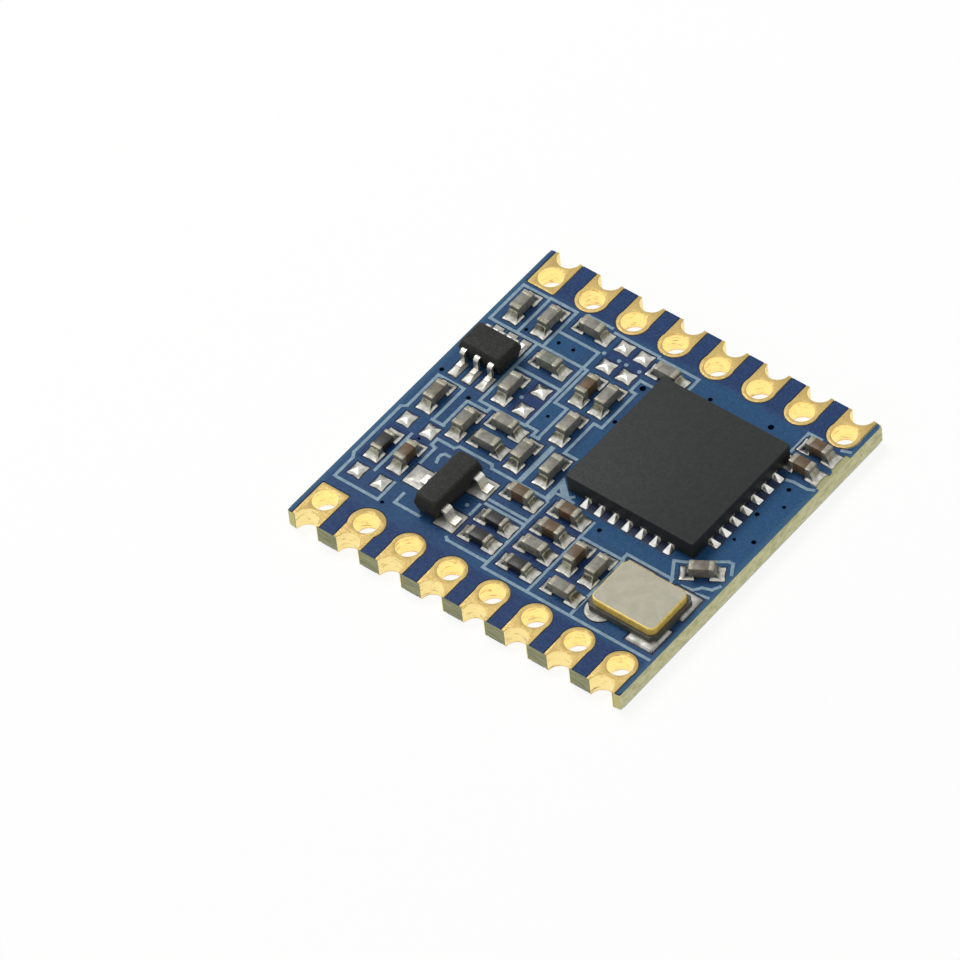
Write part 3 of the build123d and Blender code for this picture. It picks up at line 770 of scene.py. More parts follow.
@dataclass(frozen=True, kw_only=True)
class FaceFinish(Finish):
    """One colour on level faces, and another with a drill's rings on upright ones, lighter as a painted
    highlight.
    """
    level: Colour
    # painted highlight: lighter than the level colour
    upright: Colour
    fleck: Colour
    ring_pitch: float          # rings a millimetre

    def colour(self, skin: Skin) -> Socket:
        """Specks on the level faces and rings on the others.

        Args:
            skin: The finish's tree.

        Returns:
            The colour's socket.
        """
        drawn = skin.vector("MULTIPLY", skin.place, (3.0, 3.0, self.ring_pitch))
        wall = skin.blend(skin.spots(1.0, 0.54, 0.7, drawn), self.upright, self.fleck, 0.75)
        level = skin.blend(skin.spots(11.0, 0.5, 0.72), self.level, self.fleck, 0.6)
        return skin.blend(skin.stretch(skin.normal()[2], 0.55, 0.85), wall, level)


@dataclass(frozen=True, kw_only=True)
class FilletFinish(Finish):
    """Solder that is bright on its land and darker where it climbs a part's end, as painted shade."""
    bright: Colour
    second: Colour
    climb_shade: Colour
    climb_shade_dark: Colour
    low: float = 0.09         # heights above the board between which the painted shade comes in
    high: float = 0.2

    def colour(self, skin: Skin) -> Socket:
        """Blotches of two colours, darkened by height as painted shade.

        Args:
            skin: The finish's tree.

        Returns:
            The colour's socket.
        """
        soft = skin.spots(4.5, 0.35, 0.65)
        # painted shade: darker up the part's end
        climb = skin.stretch(skin.parts(skin.place)[2], LAMINATE_TOP + self.low, LAMINATE_TOP + self.high)
        return skin.blend(climb, skin.blend(soft, self.bright, self.second),
                          skin.blend(soft, self.climb_shade, self.climb_shade_dark))


@dataclass(frozen=True, kw_only=True)
class LaminateFinish(Finish):
    """Glass fibre in resin: streaked along a milled edge, torn and paler along a snapped one."""
    milled: Colour
    milled_dark: Colour
    snapped: Colour
    snapped_dark: Colour
    face: Colour
    bare_face: Colour
    end_tab: Colour
    end_line: float = 7.5      # where the tabs at the ends of the two rows of contacts begin
    end_fade: float = 0.12
    bare_x: tuple = (7.35, 7.45)       # where the mask is broken away from the face: start and full
    bare_y: tuple = (2.2, 2.5)

    def colour(self, skin: Skin) -> Socket:
        """Milled sides with paler end tabs, snapped ends, and the faces under the mask.

        Args:
            skin: The finish's tree.

        Returns:
            The colour's socket.
        """
        ends, _, level = skin.normal()
        x, y, _ = skin.parts(skin.place)
        milled = skin.blend(skin.streaks((1.2, 1.2, 11.0), 0.35, 0.7), self.milled, self.milled_dark)
        snapped = skin.blend(skin.streaks((9.0, 2.2, 7.0), 0.4, 0.75), self.snapped, self.snapped_dark)
        tab = skin.stretch(skin.math("ABSOLUTE", x), self.end_line, self.end_line + self.end_fade)
        milled = skin.blend(tab, milled, self.end_tab, 0.75)
        bare = skin.math("MULTIPLY", skin.stretch(x, *self.bare_x), skin.stretch(y, *self.bare_y))
        return skin.blend(skin.stretch(level, 0.9, 0.97),
                          skin.blend(skin.stretch(ends, 0.25, 0.6), milled, snapped),
                          skin.blend(bare, self.face, self.bare_face))


class Finishes:
    """Every finish of the module, by what it covers."""

    def __init__(self, effects: Effects) -> None:
        """Build them.

        Args:
            effects: The shared effects.
        """
        mask = MaskFinish(
            name="blue_solder_mask", roughness=0.42, uneven=0.1, relief=0.35, depth=0.012, fine=14.0,
            coarse=2.5, shine=0.14, over_copper=(28, 79, 122), over_laminate=(34, 67, 110),
            near_contacts=(22, 49, 98), near_edge=(64, 110, 138), fleck=(92, 132, 172),
            poured=((6.95, 1.4, 0.75, 2.3), (2.6, 5.55, 3.0, 0.45), (4.0, -2.1, 2.0, 0.3),
                    (-4.3, 4.35, 0.75, 0.4), (-2.7, 1.2, 0.32, 0.6), (-0.5, 1.0, 0.3, 0.9)),
            cleared=((-1.95, 5.0, 0.85, 0.9), (-3.7, 1.5, 0.5, 0.85), (-6.5, -3.4, 0.9, 1.0),
                     (1.0, -3.8, 0.9, 1.9), (-1.2, -4.5, 0.8, 1.0), (3.05, -3.8, 0.95, 0.9)))
        self.mask = mask.make(effects)
        self.mask_below = replace(mask, name="blue_solder_mask_below", poured=(), cleared=()).make(effects)
        self.legend = Mottled(
            name="legend_ink", roughness=0.6, relief=0.3, depth=0.012, fine=20.0, coarse=8.0,
            main=(144, 170, 184), second=(124, 152, 172), stain=(92, 126, 156), blotch=4.0, stained=0.6,
            stain_scale=7.0).make(effects)
        # painted light: the laminate glows a little in its own colour
        self.laminate = LaminateFinish(
            name="glass_fibre_laminate", roughness=0.6, relief=0.7, depth=0.03, fine=16.0, coarse=5.0,
            glow=0.1, milled=(178, 178, 130), milled_dark=(120, 124, 90), snapped=(242, 239, 188),
            snapped_dark=(180, 178, 118), face=(26, 38, 66), bare_face=(166, 164, 118),
            end_tab=(240, 234, 150)).make(effects)
        # painted shade: near black and without shine, for the depth of the small holes
        self.well = Mottled(name="via_wall", shine=0.0, main=(8, 14, 28), second=(4, 8, 18),
                            stain=(14, 24, 42)).make(effects)
        self._plate(effects)
        self._solder(effects)
        self._mould(effects)

    def _plate(self, effects: Effects) -> None:
        """The gold and the other bare metals.

        Args:
            effects: The shared effects.
        """
        # painted highlight: the upright faces are a lighter gold than the level ones
        self.gold = FaceFinish(
            name="gold_plating", metallic=0.35, roughness=0.46, relief=0.5, depth=0.012, fine=26.0,
            coarse=9.0, level=(194, 166, 96), upright=(228, 202, 118), fleck=(168, 140, 78),
            ring_pitch=16.0).make(effects)
        self.gold_rim = Mottled(
            name="gold_pad_rim", metallic=0.3, relief=0.4, main=(214, 192, 142), second=(198, 176, 128),
            stain=(172, 150, 104)).make(effects)
        # painted highlight and painted light: near-white colours and a glow keep the barrels bright against
        # the shade inside the holes
        self.barrel = FaceFinish(
            name="plated_barrel", metallic=0.1, roughness=0.4, relief=0.8, depth=0.02, fine=16.0, coarse=7.0,
            glow=0.36, level=(248, 228, 156), upright=(251, 230, 158), fleck=(140, 100, 40),
            ring_pitch=14.0).make(effects)
        # painted light: the seam glows a little in its own colour
        self.seam = Mottled(
            name="gold_seam", metallic=0.35, roughness=0.36, relief=0.5, depth=0.02, fine=16.0, glow=0.12,
            main=(220, 192, 98), second=(204, 174, 80), stain=(160, 134, 62), blotch=4.0).make(effects)
        self.lid = Mottled(
            name="lid_metal", metallic=0.55, uneven=0.08, relief=0.3, depth=0.006, fine=34.0, coarse=12.0,
            main=(155, 151, 134), second=(148, 144, 128), stain=(167, 163, 148), blotch=2.0, stained=0.6,
            stain_scale=18.0).make(effects)
        self.chip_end = Mottled(
            name="chip_end_metal", metallic=0.5, roughness=0.48, relief=0.55, depth=0.016, fine=18.0,
            main=(156, 152, 137), second=(132, 128, 113), stain=(100, 95, 78), blotch=5.0).make(effects)
        self.tinned = Mottled(
            name="tinned_lead", metallic=1.0, roughness=0.38, relief=0.4, main=(222, 220, 213),
            second=(188, 184, 172), stain=(136, 129, 112)).make(effects)

    def _solder(self, effects: Effects) -> None:
        """The solder, by where it lies.

        Args:
            effects: The shared effects.
        """
        self.solder = Mottled(
            name="bright_solder", metallic=1.0, roughness=0.3, uneven=0.12, relief=0.35, depth=0.015,
            fine=12.0, coarse=4.0, main=(204, 203, 197), second=(168, 167, 159), stain=(112, 106, 90),
            blotch=3.5, stained=0.66, stain_scale=4.0).make(effects)
        # painted shade: the climbed colours are darker than the bright ones
        self.fillet = FilletFinish(
            name="solder_fillet", metallic=0.85, roughness=0.34, uneven=0.12, relief=0.35, depth=0.015,
            fine=12.0, coarse=4.0, bright=(208, 207, 201), second=(170, 168, 158), climb_shade=(152, 151, 136),
            climb_shade_dark=(116, 113, 97)).make(effects)
        self.tinned_land = Mottled(
            name="tinned_land", metallic=0.5, uneven=0.1, relief=0.5, depth=0.02, fine=9.0, coarse=3.0,
            share=0.6, main=(188, 187, 181), second=(160, 158, 150), stain=(124, 118, 100),
            stain_scale=6.0).make(effects)
        self.spike = Mottled(
            name="terminal_solder", metallic=0.9, roughness=0.32, uneven=0.1, relief=0.3, depth=0.012,
            fine=12.0, coarse=4.0, main=(238, 238, 234), second=(206, 205, 199), stain=(150, 146, 134),
            blotch=4.0, stained=0.68).make(effects)

    def _mould(self, effects: Effects) -> None:
        """The ceramics, the glaze and the dark mouldings.

        Args:
            effects: The shared effects.
        """
        grey = Mottled(name="grey_ceramic", roughness=0.4, uneven=0.08, relief=0.3, depth=0.008, fine=24.0,
                       shine=0.3, main=(148, 146, 136), second=(124, 121, 110), stain=(164, 162, 152),
                       blotch=3.5, stain_scale=9.0)
        self.grey = grey.make(effects)
        self.brown = replace(grey, name="brown_ceramic", main=(112, 88, 60), second=(92, 73, 51),
                             stain=(128, 104, 76)).make(effects)
        self.umber = replace(grey, name="grey_brown_ceramic", main=(132, 123, 108), second=(108, 99, 86),
                             stain=(148, 139, 124)).make(effects)
        self.olive = replace(grey, name="grey_green_ceramic", main=(128, 132, 118), second=(106, 110, 96),
                             stain=(144, 148, 134)).make(effects)
        self.glaze = Mottled(name="resistor_glaze", roughness=0.4, uneven=0.08, coat=0.06, shine=0.3,
                             main=(44, 43, 40), second=(35, 34, 32), stain=(60, 58, 54)).make(effects)
        self.base = Mottled(name="dark_ceramic_base", relief=0.3, main=(76, 76, 70), second=(62, 62, 57),
                            stain=(92, 91, 84)).make(effects)
        self.moulding = Mottled(
            name="dark_moulding", shine=0.2, uneven=0.1, relief=0.45, depth=0.012, fine=22.0, coarse=10.0,
            main=(41, 44, 44), second=(36, 39, 39), stain=(52, 54, 53), blotch=5.0, stained=0.6,
            stain_scale=16.0).make(effects)
        self.rough_moulding = Mottled(
            name="coarse_moulding", shine=0.2, roughness=0.56, uneven=0.12, relief=0.6, depth=0.018,
            fine=18.0, coarse=7.0, main=(39, 40, 37), second=(33, 34, 31), stain=(56, 55, 50), blotch=6.0,
            stained=0.56, stain_scale=13.0).make(effects)


# Pieces

@dataclass
class Board:
    """The board's solids, which only need their finishes, and the wells of its small holes."""
    finishes: Finishes
    wells: tuple = ((-4.68, 4.36, 0.1), (-4.00, 4.39, 0.1), (-6.12, 4.19, 0.1), (-7.50, 0.78, 0.12),
                    (-5.77, 0.23, 0.12), (-6.03, -2.43, 0.08), (-2.72, 1.21, 0.09), (-5.18, -5.68, 0.1),
                    (1.80, 5.36, 0.12), (-0.63, 4.35, 0.16), (-0.47, 2.43, 0.11), (2.36, -2.13, 0.12),
                    (4.52, 5.56, 0.15), (6.95, 3.47, 0.12), (7.32, 2.68, 0.1), (6.70, 1.84, 0.12),
                    (7.43, 0.68, 0.12), (6.75, 0.38, 0.09))     # place and radius of each
    lip: float = 0.12          # share of its radius by which a well's lip reaches past it
    lip_width: float = 0.3     # the same, of the flat lip
    slope: float = 0.12        # the same, of the slope inside it
    dark: float = 0.9          # the same, inside which the well is painted near black as shade of the hole
    depth: float = 0.022
    sides: int = 24

    def dress_solids(self) -> None:
        """Give the solids that stay their finishes."""
        finishes = self.finishes
        dressed = {"laminate": finishes.laminate, "solder_mask_top": finishes.mask,
                   "solder_mask_bottom": finishes.mask_below, "legend_print": finishes.legend,
                   "transceiver_terminals": finishes.tinned, "antenna_switch_leads": finishes.tinned,
                   "regulator_leads": finishes.tinned, "crystal_base": finishes.base,
                   "crystal_ring": finishes.seam}
        for node, finish in dressed.items():
            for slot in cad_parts[node].material_slots:
                slot.material = finish
            log.info("%s: dressed", node)

    def _well(self, x: float, y: float, radius: float) -> Bench:
        """A plated lip about a shallow well painted near black: painted shade for the depth of the hole.

        Args:
            x: Place of the hole.
            y: Place of the hole.
            radius: Its radius.

        Returns:
            The well.
        """
        well = Bench("well").drum(x, y, LAMINATE_TOP + 0.001, MASK_TOP + 0.004, radius * (1 + self.lip),
                                  self.sides)
        well.select(Element.FACE, facing_up)
        bpy.ops.mesh.inset(thickness=radius * self.lip_width, depth=0.0)
        bpy.ops.mesh.inset(thickness=radius * self.slope, depth=-self.depth)
        well.clear()
        dark = radius * self.dark
        return well.paint_faces(1, lambda c, n: n.z > -0.9 and Vector((c.x - x, c.y - y)).length < dark)

    def build(self) -> None:
        """Dress the board and add the wells."""
        self.dress_solids()
        made = [self._well(*sizes) for sizes in self.wells]
        whole = made[0].join(made[1:]).rename("small_hole_wells")
        whole.seat([self.finishes.mask, self.finishes.well], "solder_mask")


@dataclass
class Contacts:
    """The sixteen castellated contacts: each two pads, the barrel of a hole and half a barrel."""
    finishes: Finishes
    hole_radius: float = 0.5
    plating: float = 0.03
    pad_thickness: float = 0.035
    width: float = 1.28
    hole_to_edge: float = 1.17
    edge: float = 8.0
    square_reach: float = 0.67       # how far a squared pad reaches past the hole's middle
    corner: float = 0.08
    rounding: float = 0.012
    barrel_inset: float = 0.002      # how far a barrel's mouths lie inside the pads' faces
    rings: tuple = (0.12, 0.3, 0.48, 0.66)
    models: dict = field(default_factory=dict)

    def _pad(self, name: str, square: bool, reach: float, level: float) -> Bench:
        """One pad, open at the hole and at the notch.

        Args:
            name: Name of the piece.
            square: Whether it ends square instead of round.
            reach: How far it reaches past the hole's middle.
            level: Height of its foot.

        Returns:
            The pad.
        """
        top = level + self.pad_thickness
        hole = self.edge - self.hole_to_edge
        start = hole - reach if square else hole
        pad = Bench(name).block((-self.width / 2, start, level), (self.width / 2, self.edge, top))
        if square:
            pad.bevel(self.corner, 4, lambda a, b: upright(a, b) and a.y < hole)
        else:
            pad.combine(Bench("land").drum(0, hole, level, top, reach), "UNION")
        for y in (hole, self.edge):
            pad.combine(Bench("drill").drum(0, y, level - 1, top + 1, self.hole_radius))
        return pad.break_edges(self.rounding, 2).paint_faces(1, lambda c, n: 0.9 > abs(n.z) > 0.02)

    def _barrel(self, name: str, y: float) -> Bench:
        """The plated wall of one hole.

        Args:
            name: Name of the piece.
            y: Place of its axis.

        Returns:
            The barrel.
        """
        high = self.pad_thickness + LAMINATE_TOP
        wall = Bench(name).drum(0, y, self.barrel_inset, high - self.barrel_inset,
                                self.hole_radius + self.plating)
        wall.combine(Bench("bore").drum(0, y, -1, high + 1, self.hole_radius))
        for level in self.rings:
            wall.split_at((0, y, level))
        return wall.paint_faces(2, lambda c, n: True)

    def _model(self, square: bool, reach: float) -> Bench:
        """One whole contact of the back row, at X = 0.

        Args:
            square: Whether its pads end square.
            reach: How far its pads reach past the hole's middle.

        Returns:
            The contact.
        """
        pads = [self._pad(name, square, reach, level)
                for name, level in (("pad_top", LAMINATE_TOP), ("pad_bottom", 0.0))]
        full = self._barrel("barrel", self.edge - self.hole_to_edge)
        half = self._barrel("half_barrel", self.edge).split_at((0, self.edge, 0), (0, 1, 0), keep_below=True)
        half.paint_faces(2, lambda c, n: True)
        return full.join([half, *pads])

    def build(self) -> None:
        """Model each kind once and set a copy down for every contact."""
        finishes = [self.finishes.gold, self.finishes.gold_rim, self.finishes.barrel]
        for row, turn in (("back", 0.0), ("front", 180.0)):
            for number in range(1, 9):
                low, high = box_mm(f"contact_{row}_{number}")
                square = number == 1
                reach = self.square_reach if square else (high.x - low.x) / 2
                if (square, reach) not in self.models:
                    self.models[square, reach] = self._model(square, reach)
                contact = self.models[square, reach].twin(f"gold_contact_{row}_{number}",
                                                          ((low.x + high.x) / 2, 0, 0), turn)
                contact.seat(finishes, "contact_gold", [f"contact_{row}_{number}"])
        for model in self.models.values():
            model.drop()


@dataclass(frozen=True)
class Heap:
    """The outline of a heap of solder at one level, for one end of a part that lies along X."""
    level: float               # above the board
    inner: float
    outer: float
    half_width: float

    @property
    def centre(self) -> float:
        """The X of its middle."""
        return (self.inner + self.outer) / 2

    def pivot(self, above: "Heap") -> tuple[float, float]:
        """How this outline is resized along X to the one above it.

        Args:
            above: The outline above.

        Returns:
            The factor, and the X that stays.
        """
        factor = (above.outer - above.inner) / (self.outer - self.inner)
        if abs(1 - factor) < 1e-6:
            return factor, self.inner
        return factor, (above.inner - self.inner * factor) / (1 - factor)


@dataclass
class Solder:
    """Solder, heaped level on level and then smoothed, as it sets."""
    finishes: Finishes
    ridge: float = 0.45              # how sharp the edges that climb stay
    grain: float = 0.3               # size of its swells
    slight_swell: float = 0.012      # how far the finer heaps swell

    def heap(self, name: str, levels: Sequence[Heap], crease: float = 0.95, pinch: float = 0.14) -> Bench:
        """Extrude a heap upwards through its levels, pull its sides in between the corners and smooth it.

        Args:
            name: Name of the piece.
            levels: Its outlines, from the land up.
            crease: How sharp the land's own outline stays.
            pinch: Share by which the sides are pulled in at the land, less and less upwards.

        Returns:
            The heap, standing on the board at X = 0.
        """
        first, second = levels[:2]
        rim = LAMINATE_TOP + second.level
        piece = Bench(name).block((first.inner, -first.half_width, LAMINATE_TOP + first.level),
                                  (first.outer, first.half_width, rim)).halve()
        for below, above in zip(levels[1:], levels[2:]):
            top = LAMINATE_TOP + below.level
            piece.select(Element.FACE, lambda c, n: n.z > 0.9 and abs(c.z - top) < HAIR)
            rise = (0, 0, above.level - below.level)
            bpy.ops.mesh.extrude_region_move(TRANSFORM_OT_translate={"value": rise})
            factor, stays = below.pivot(above)
            bpy.ops.transform.resize(value=(factor, above.half_width / below.half_width, 1),
                                     center_override=(stays, 0, LAMINATE_TOP + above.level))
        for step, outline in enumerate(levels):
            heights = [outline.level] if step else [first.level, (first.level + second.level) / 2]
            self._pinch(piece, outline, heights, 1 - pinch * (1 - step / len(levels)))
        piece.select(Element.EDGE, lambda a, b: max(a.z, b.z) < rim + HAIR)
        bpy.ops.transform.edge_crease(value=crease)
        piece.select(Element.EDGE, lambda a, b: max(a.z, b.z) > rim + HAIR and abs(a.z - b.z) > HAIR)
        bpy.ops.transform.edge_crease(value=self.ridge)
        return piece.smooth_out(2)

    @staticmethod
    def _pinch(piece: Bench, outline: Heap, heights: Sequence[float], factor: float) -> None:
        """Pull in the middles of one outline's four sides.

        Args:
            piece: The heap.
            outline: The outline.
            heights: Levels of the points that are pulled in.
            factor: What is left of their distance from the middle.
        """
        levels = [LAMINATE_TOP + height for height in heights]
        piece.select(Element.VERT, lambda v: any(abs(v.z - level) < 1e-5 for level in levels)
                     and (abs(v.x - outline.centre) < 2e-3) != (abs(v.y) < 2e-3))
        piece.spread((factor, factor, 1), (outline.centre, 0, LAMINATE_TOP + outline.level))

    def finish(self, name: str, pieces: Sequence[Bench], finish: Material, swell: float = 0.02) -> None:
        """Join heaps into one piece, make them uneven and set them down.

        Args:
            name: Name of the piece.
            pieces: The heaps, in place.
            finish: Their finish.
            swell: How far they swell.
        """
        whole = pieces[0].join(pieces[1:]).rename(name).roughen(swell, self.grain)
        whole.seat([finish], "solder_tin", ["solder_joints"], smooth=70.0)


@dataclass(frozen=True)
class ChipSizes:
    """Sizes of one kind of chip part and of its solder."""
    height: float
    end_length: float
    climb: float               # how far the solder climbs its ends
    slot: str


class ChipKind(Enum):
    """The kinds of chip part, as their solids name them."""
    CAPACITOR = ChipSizes(0.5, 0.25, 0.36, "capacitor_ceramic")
    INDUCTOR = ChipSizes(0.52, 0.27, 0.34, "inductor_ceramic")
    RESISTOR = ChipSizes(0.35, 0.2, 0.27, "resistor_film")


@dataclass
class ChipParts:
    """The thirty chip parts with the solder at their ends, and the lands that carry none."""
    finishes: Finishes
    solder: Solder
    length: float = 1.0
    width: float = 0.5
    skin: float = 0.014              # how far the metal ends stand proud of the ceramic
    ceramic_inset: float = 0.1
    ceramic_rounding: float = 0.03
    end_rounding: float = 0.045
    swell: float = 0.012
    grain: float = 0.16
    slanted: str = "chip_capacitor_21"
    slant: float = 32.0
    brown: tuple = ("04", "11", "12", "13", "14", "15", "16", "18")
    umber: tuple = ("06", "21")
    olive: tuple = ("03",)
    bare_pairs: tuple = ((-2.44, 5.01, 90.0), (-1.51, 5.01, 90.0), (-3.68, 1.48, 90.0), (-6.45, -1.93, 0.0),
                         (-6.37, -4.96, 0.0))     # place and turn of each pair of lands

    def _model(self, kind: ChipKind) -> Bench:
        """One chip part along X: a ceramic block between two rounded metal ends.

        Args:
            kind: Which kind.

        Returns:
            The part, with its foot at Z = 0.
        """
        sizes, half, skin = kind.value, self.length / 2, self.skin
        inner = half - self.ceramic_inset
        body = Bench(kind.name.lower()).block((-inner, -self.width / 2 + skin, skin),
                                              (inner, self.width / 2 - skin, sizes.height - skin))
        body.bevel(self.ceramic_rounding)
        ends = []
        for near, far in ((-half, -half + sizes.end_length), (half - sizes.end_length, half)):
            end = Bench("end").block((near, -self.width / 2, 0), (far, self.width / 2, sizes.height))
            ends.append(end.bevel(self.end_rounding).smooth_out(1).paint_faces(1, lambda c, n: True))
        return body.join(ends)

    def _joint(self, kind: ChipKind) -> Bench:
        """The solder at the +X end of one kind of chip.

        Args:
            kind: Which kind.

        Returns:
            The heap.
        """
        foot, climb = 0.04, kind.value.climb
        return self.solder.heap(kind.name.lower() + "_joint", [
            Heap(0.0, 0.27, 0.865, 0.345), Heap(0.035, 0.27, 0.86, 0.34), Heap(0.075, 0.29, 0.75, 0.28),
            Heap(foot + climb * 0.35, 0.33, 0.635, 0.25), Heap(foot + climb * 0.7, 0.38, 0.555, 0.235),
            Heap(foot + climb * 0.9, 0.40, 0.52, 0.2)], pinch=0.16)

    def _turn(self, node: str) -> float:
        """How a chip lies, in degrees, from the shape of its solid's box.

        Args:
            node: Name of its solid.

        Returns:
            Its turn.
        """
        low, high = box_mm(node)
        straight = 0.0 if high.x - low.x > high.y - low.y else 90.0
        return self.slant if node == self.slanted else straight

    def _ceramic(self, node: str) -> Material:
        """The finish of a chip's body.

        Args:
            node: Name of its solid.

        Returns:
            The finish.
        """
        _, kind, number = node.split("_")
        if kind == "resistor":
            return self.finishes.glaze
        for numbers, finish in ((self.brown, self.finishes.brown), (self.umber, self.finishes.umber),
                                (self.olive, self.finishes.olive)):
            if kind == "capacitor" and number in numbers:
                return finish
        return self.finishes.grey

    def _bare(self) -> None:
        """The tinned lands that carry no part."""
        dome = self.solder.heap("dome", [
            Heap(0.0, 0.25, 0.865, 0.345), Heap(0.03, 0.255, 0.86, 0.34), Heap(0.075, 0.32, 0.795, 0.27),
            Heap(0.12, 0.42, 0.69, 0.16), Heap(0.14, 0.52, 0.59, 0.04)], pinch=0.15)
        placed = [dome.twin("land", (x, y, 0), turn + flip)
                  for x, y, turn in self.bare_pairs for flip in (0, 180)]
        self.solder.finish("solder_on_bare_lands", placed, self.finishes.solder)
        dome.drop()

    def build(self) -> None:
        """Set down every chip and its two joints, and the bare lands."""
        models = {kind: self._model(kind) for kind in ChipKind}
        joints = {kind: self._joint(kind) for kind in ChipKind}
        placed = []
        for node in sorted(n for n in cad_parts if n.startswith("chip_")):
            kind = ChipKind[node.split("_")[1].upper()]
            middle, turn = middle_mm(node), self._turn(node)
            chip = models[kind].twin(node.replace("chip_", "soldered_"), (middle.x, middle.y, LAND_TOP), turn)
            chip.roughen(self.swell, self.grain)
            chip.seat([self._ceramic(node), self.finishes.chip_end], kind.value.slot, [node])
            placed += [joints[kind].twin("joint", (middle.x, middle.y, 0), turn + flip) for flip in (0, 180)]
        self.solder.finish("solder_at_chips", placed, self.finishes.fillet)
        self._bare()
        for piece in (*models.values(), *joints.values()):
            piece.drop()


@dataclass
class Transceiver:
    """The square package: a sawn block whose foot is drawn in, with spikes of solder at its terminals."""
    finishes: Finishes
    solder: Solder
    half: float = 3.0                # half its side
    pitch: float = 0.65
    terminals: int = 7               # a side
    foot: float = 0.21               # how much of its height is drawn in
    foot_share: float = 0.996
    corner: float = 0.09
    rounding: float = 0.03
    edge_break: float = 0.008

    def _package(self, low: Vector, high: Vector) -> None:
        """The moulded block.

        Args:
            low: Its lowest corner.
            high: Its highest corner.
        """
        middle = (low + high) / 2
        level = low.z + self.foot
        body = Bench("transceiver_package").block(tuple(low), tuple(high)).split_at((0, 0, level))
        body.select(Element.FACE, lambda c, n: c.z < level)
        body.spread((self.foot_share, self.foot_share, 1), (middle.x, middle.y, low.z))
        body.bevel(self.corner, 3, upright)
        body.bevel_rim(self.rounding, 3, high.z)
        body.break_edges(self.edge_break, 1)
        body.seat([self.finishes.moulding], "moulding", ["transceiver_body"])

    def _spikes(self, middle: Vector) -> None:
        """The spikes of solder.

        Args:
            middle: Middle of the package.
        """
        half = self.half
        spike = self.solder.heap("spike", [
            Heap(0.0, half - 0.3, half + 0.37, 0.155), Heap(0.035, half - 0.3, half + 0.36, 0.15),
            Heap(0.08, half - 0.16, half + 0.28, 0.115), Heap(0.17, half - 0.06, half + 0.13, 0.07),
            Heap(0.25, half - 0.04, half + 0.02, 0.02)], crease=0.4, pinch=0.0)
        placed = []
        for quarter in range(4):
            turned = spike.twin("spike_side", (0, 0, 0), 90 * quarter)
            across = Vector((0, 1)) if quarter % 2 == 0 else Vector((1, 0))
            for step in range(self.terminals):
                offset = (step - (self.terminals - 1) / 2) * self.pitch
                place = (middle.x + across.x * offset, middle.y + across.y * offset, 0)
                placed.append(turned.twin("spike_copy", place))
            turned.drop()
        self.solder.finish("solder_at_transceiver", placed, self.finishes.spike, self.solder.slight_swell)
        spike.drop()

    def build(self) -> None:
        """Build the package and its solder."""
        low, high = box_mm("transceiver_body")
        self._package(low, high)
        self._spikes((low + high) / 2)


@dataclass(frozen=True)
class Moulding:
    """One moulded package: two drafted halves that meet at the leads."""
    node: str
    name: str
    parting: float             # height of the parting line above the package's foot
    corner: float
    rounding: float
    lean: float = 0.12         # how far its sides lean in
    edge_break: float = 0.012
    slight: float = math.radians(12)     # edges sharper than this are broken

    def build(self, finish: Material) -> None:
        """Shape it and round its edges.

        Args:
            finish: Its finish.
        """
        low, high = box_mm(self.node)
        middle = (low + high) / 2
        level = LAND_TOP + self.parting
        body = Bench(self.name).block(tuple(low), tuple(high))
        body.bevel(self.corner, 5, upright)
        body.split_at((0, 0, level))
        shrink = (1 - 2 * self.lean / (high.x - low.x), 1 - 2 * self.lean / (high.y - low.y), 1)
        for edge in (high.z, low.z):
            body.select(Element.FACE, lambda c, n: abs(n.z) > 0.9 and abs(c.z - edge) < 1e-3)
            body.spread(shrink, (middle.x, middle.y, edge))
        body.bevel(self.rounding, 4, lambda a, b: abs(a.z - b.z) < HAIR and abs(a.z - level) > 1e-3)
        body.break_edges(self.edge_break, 2, self.slight)
        body.seat([finish], "moulding", [self.node])


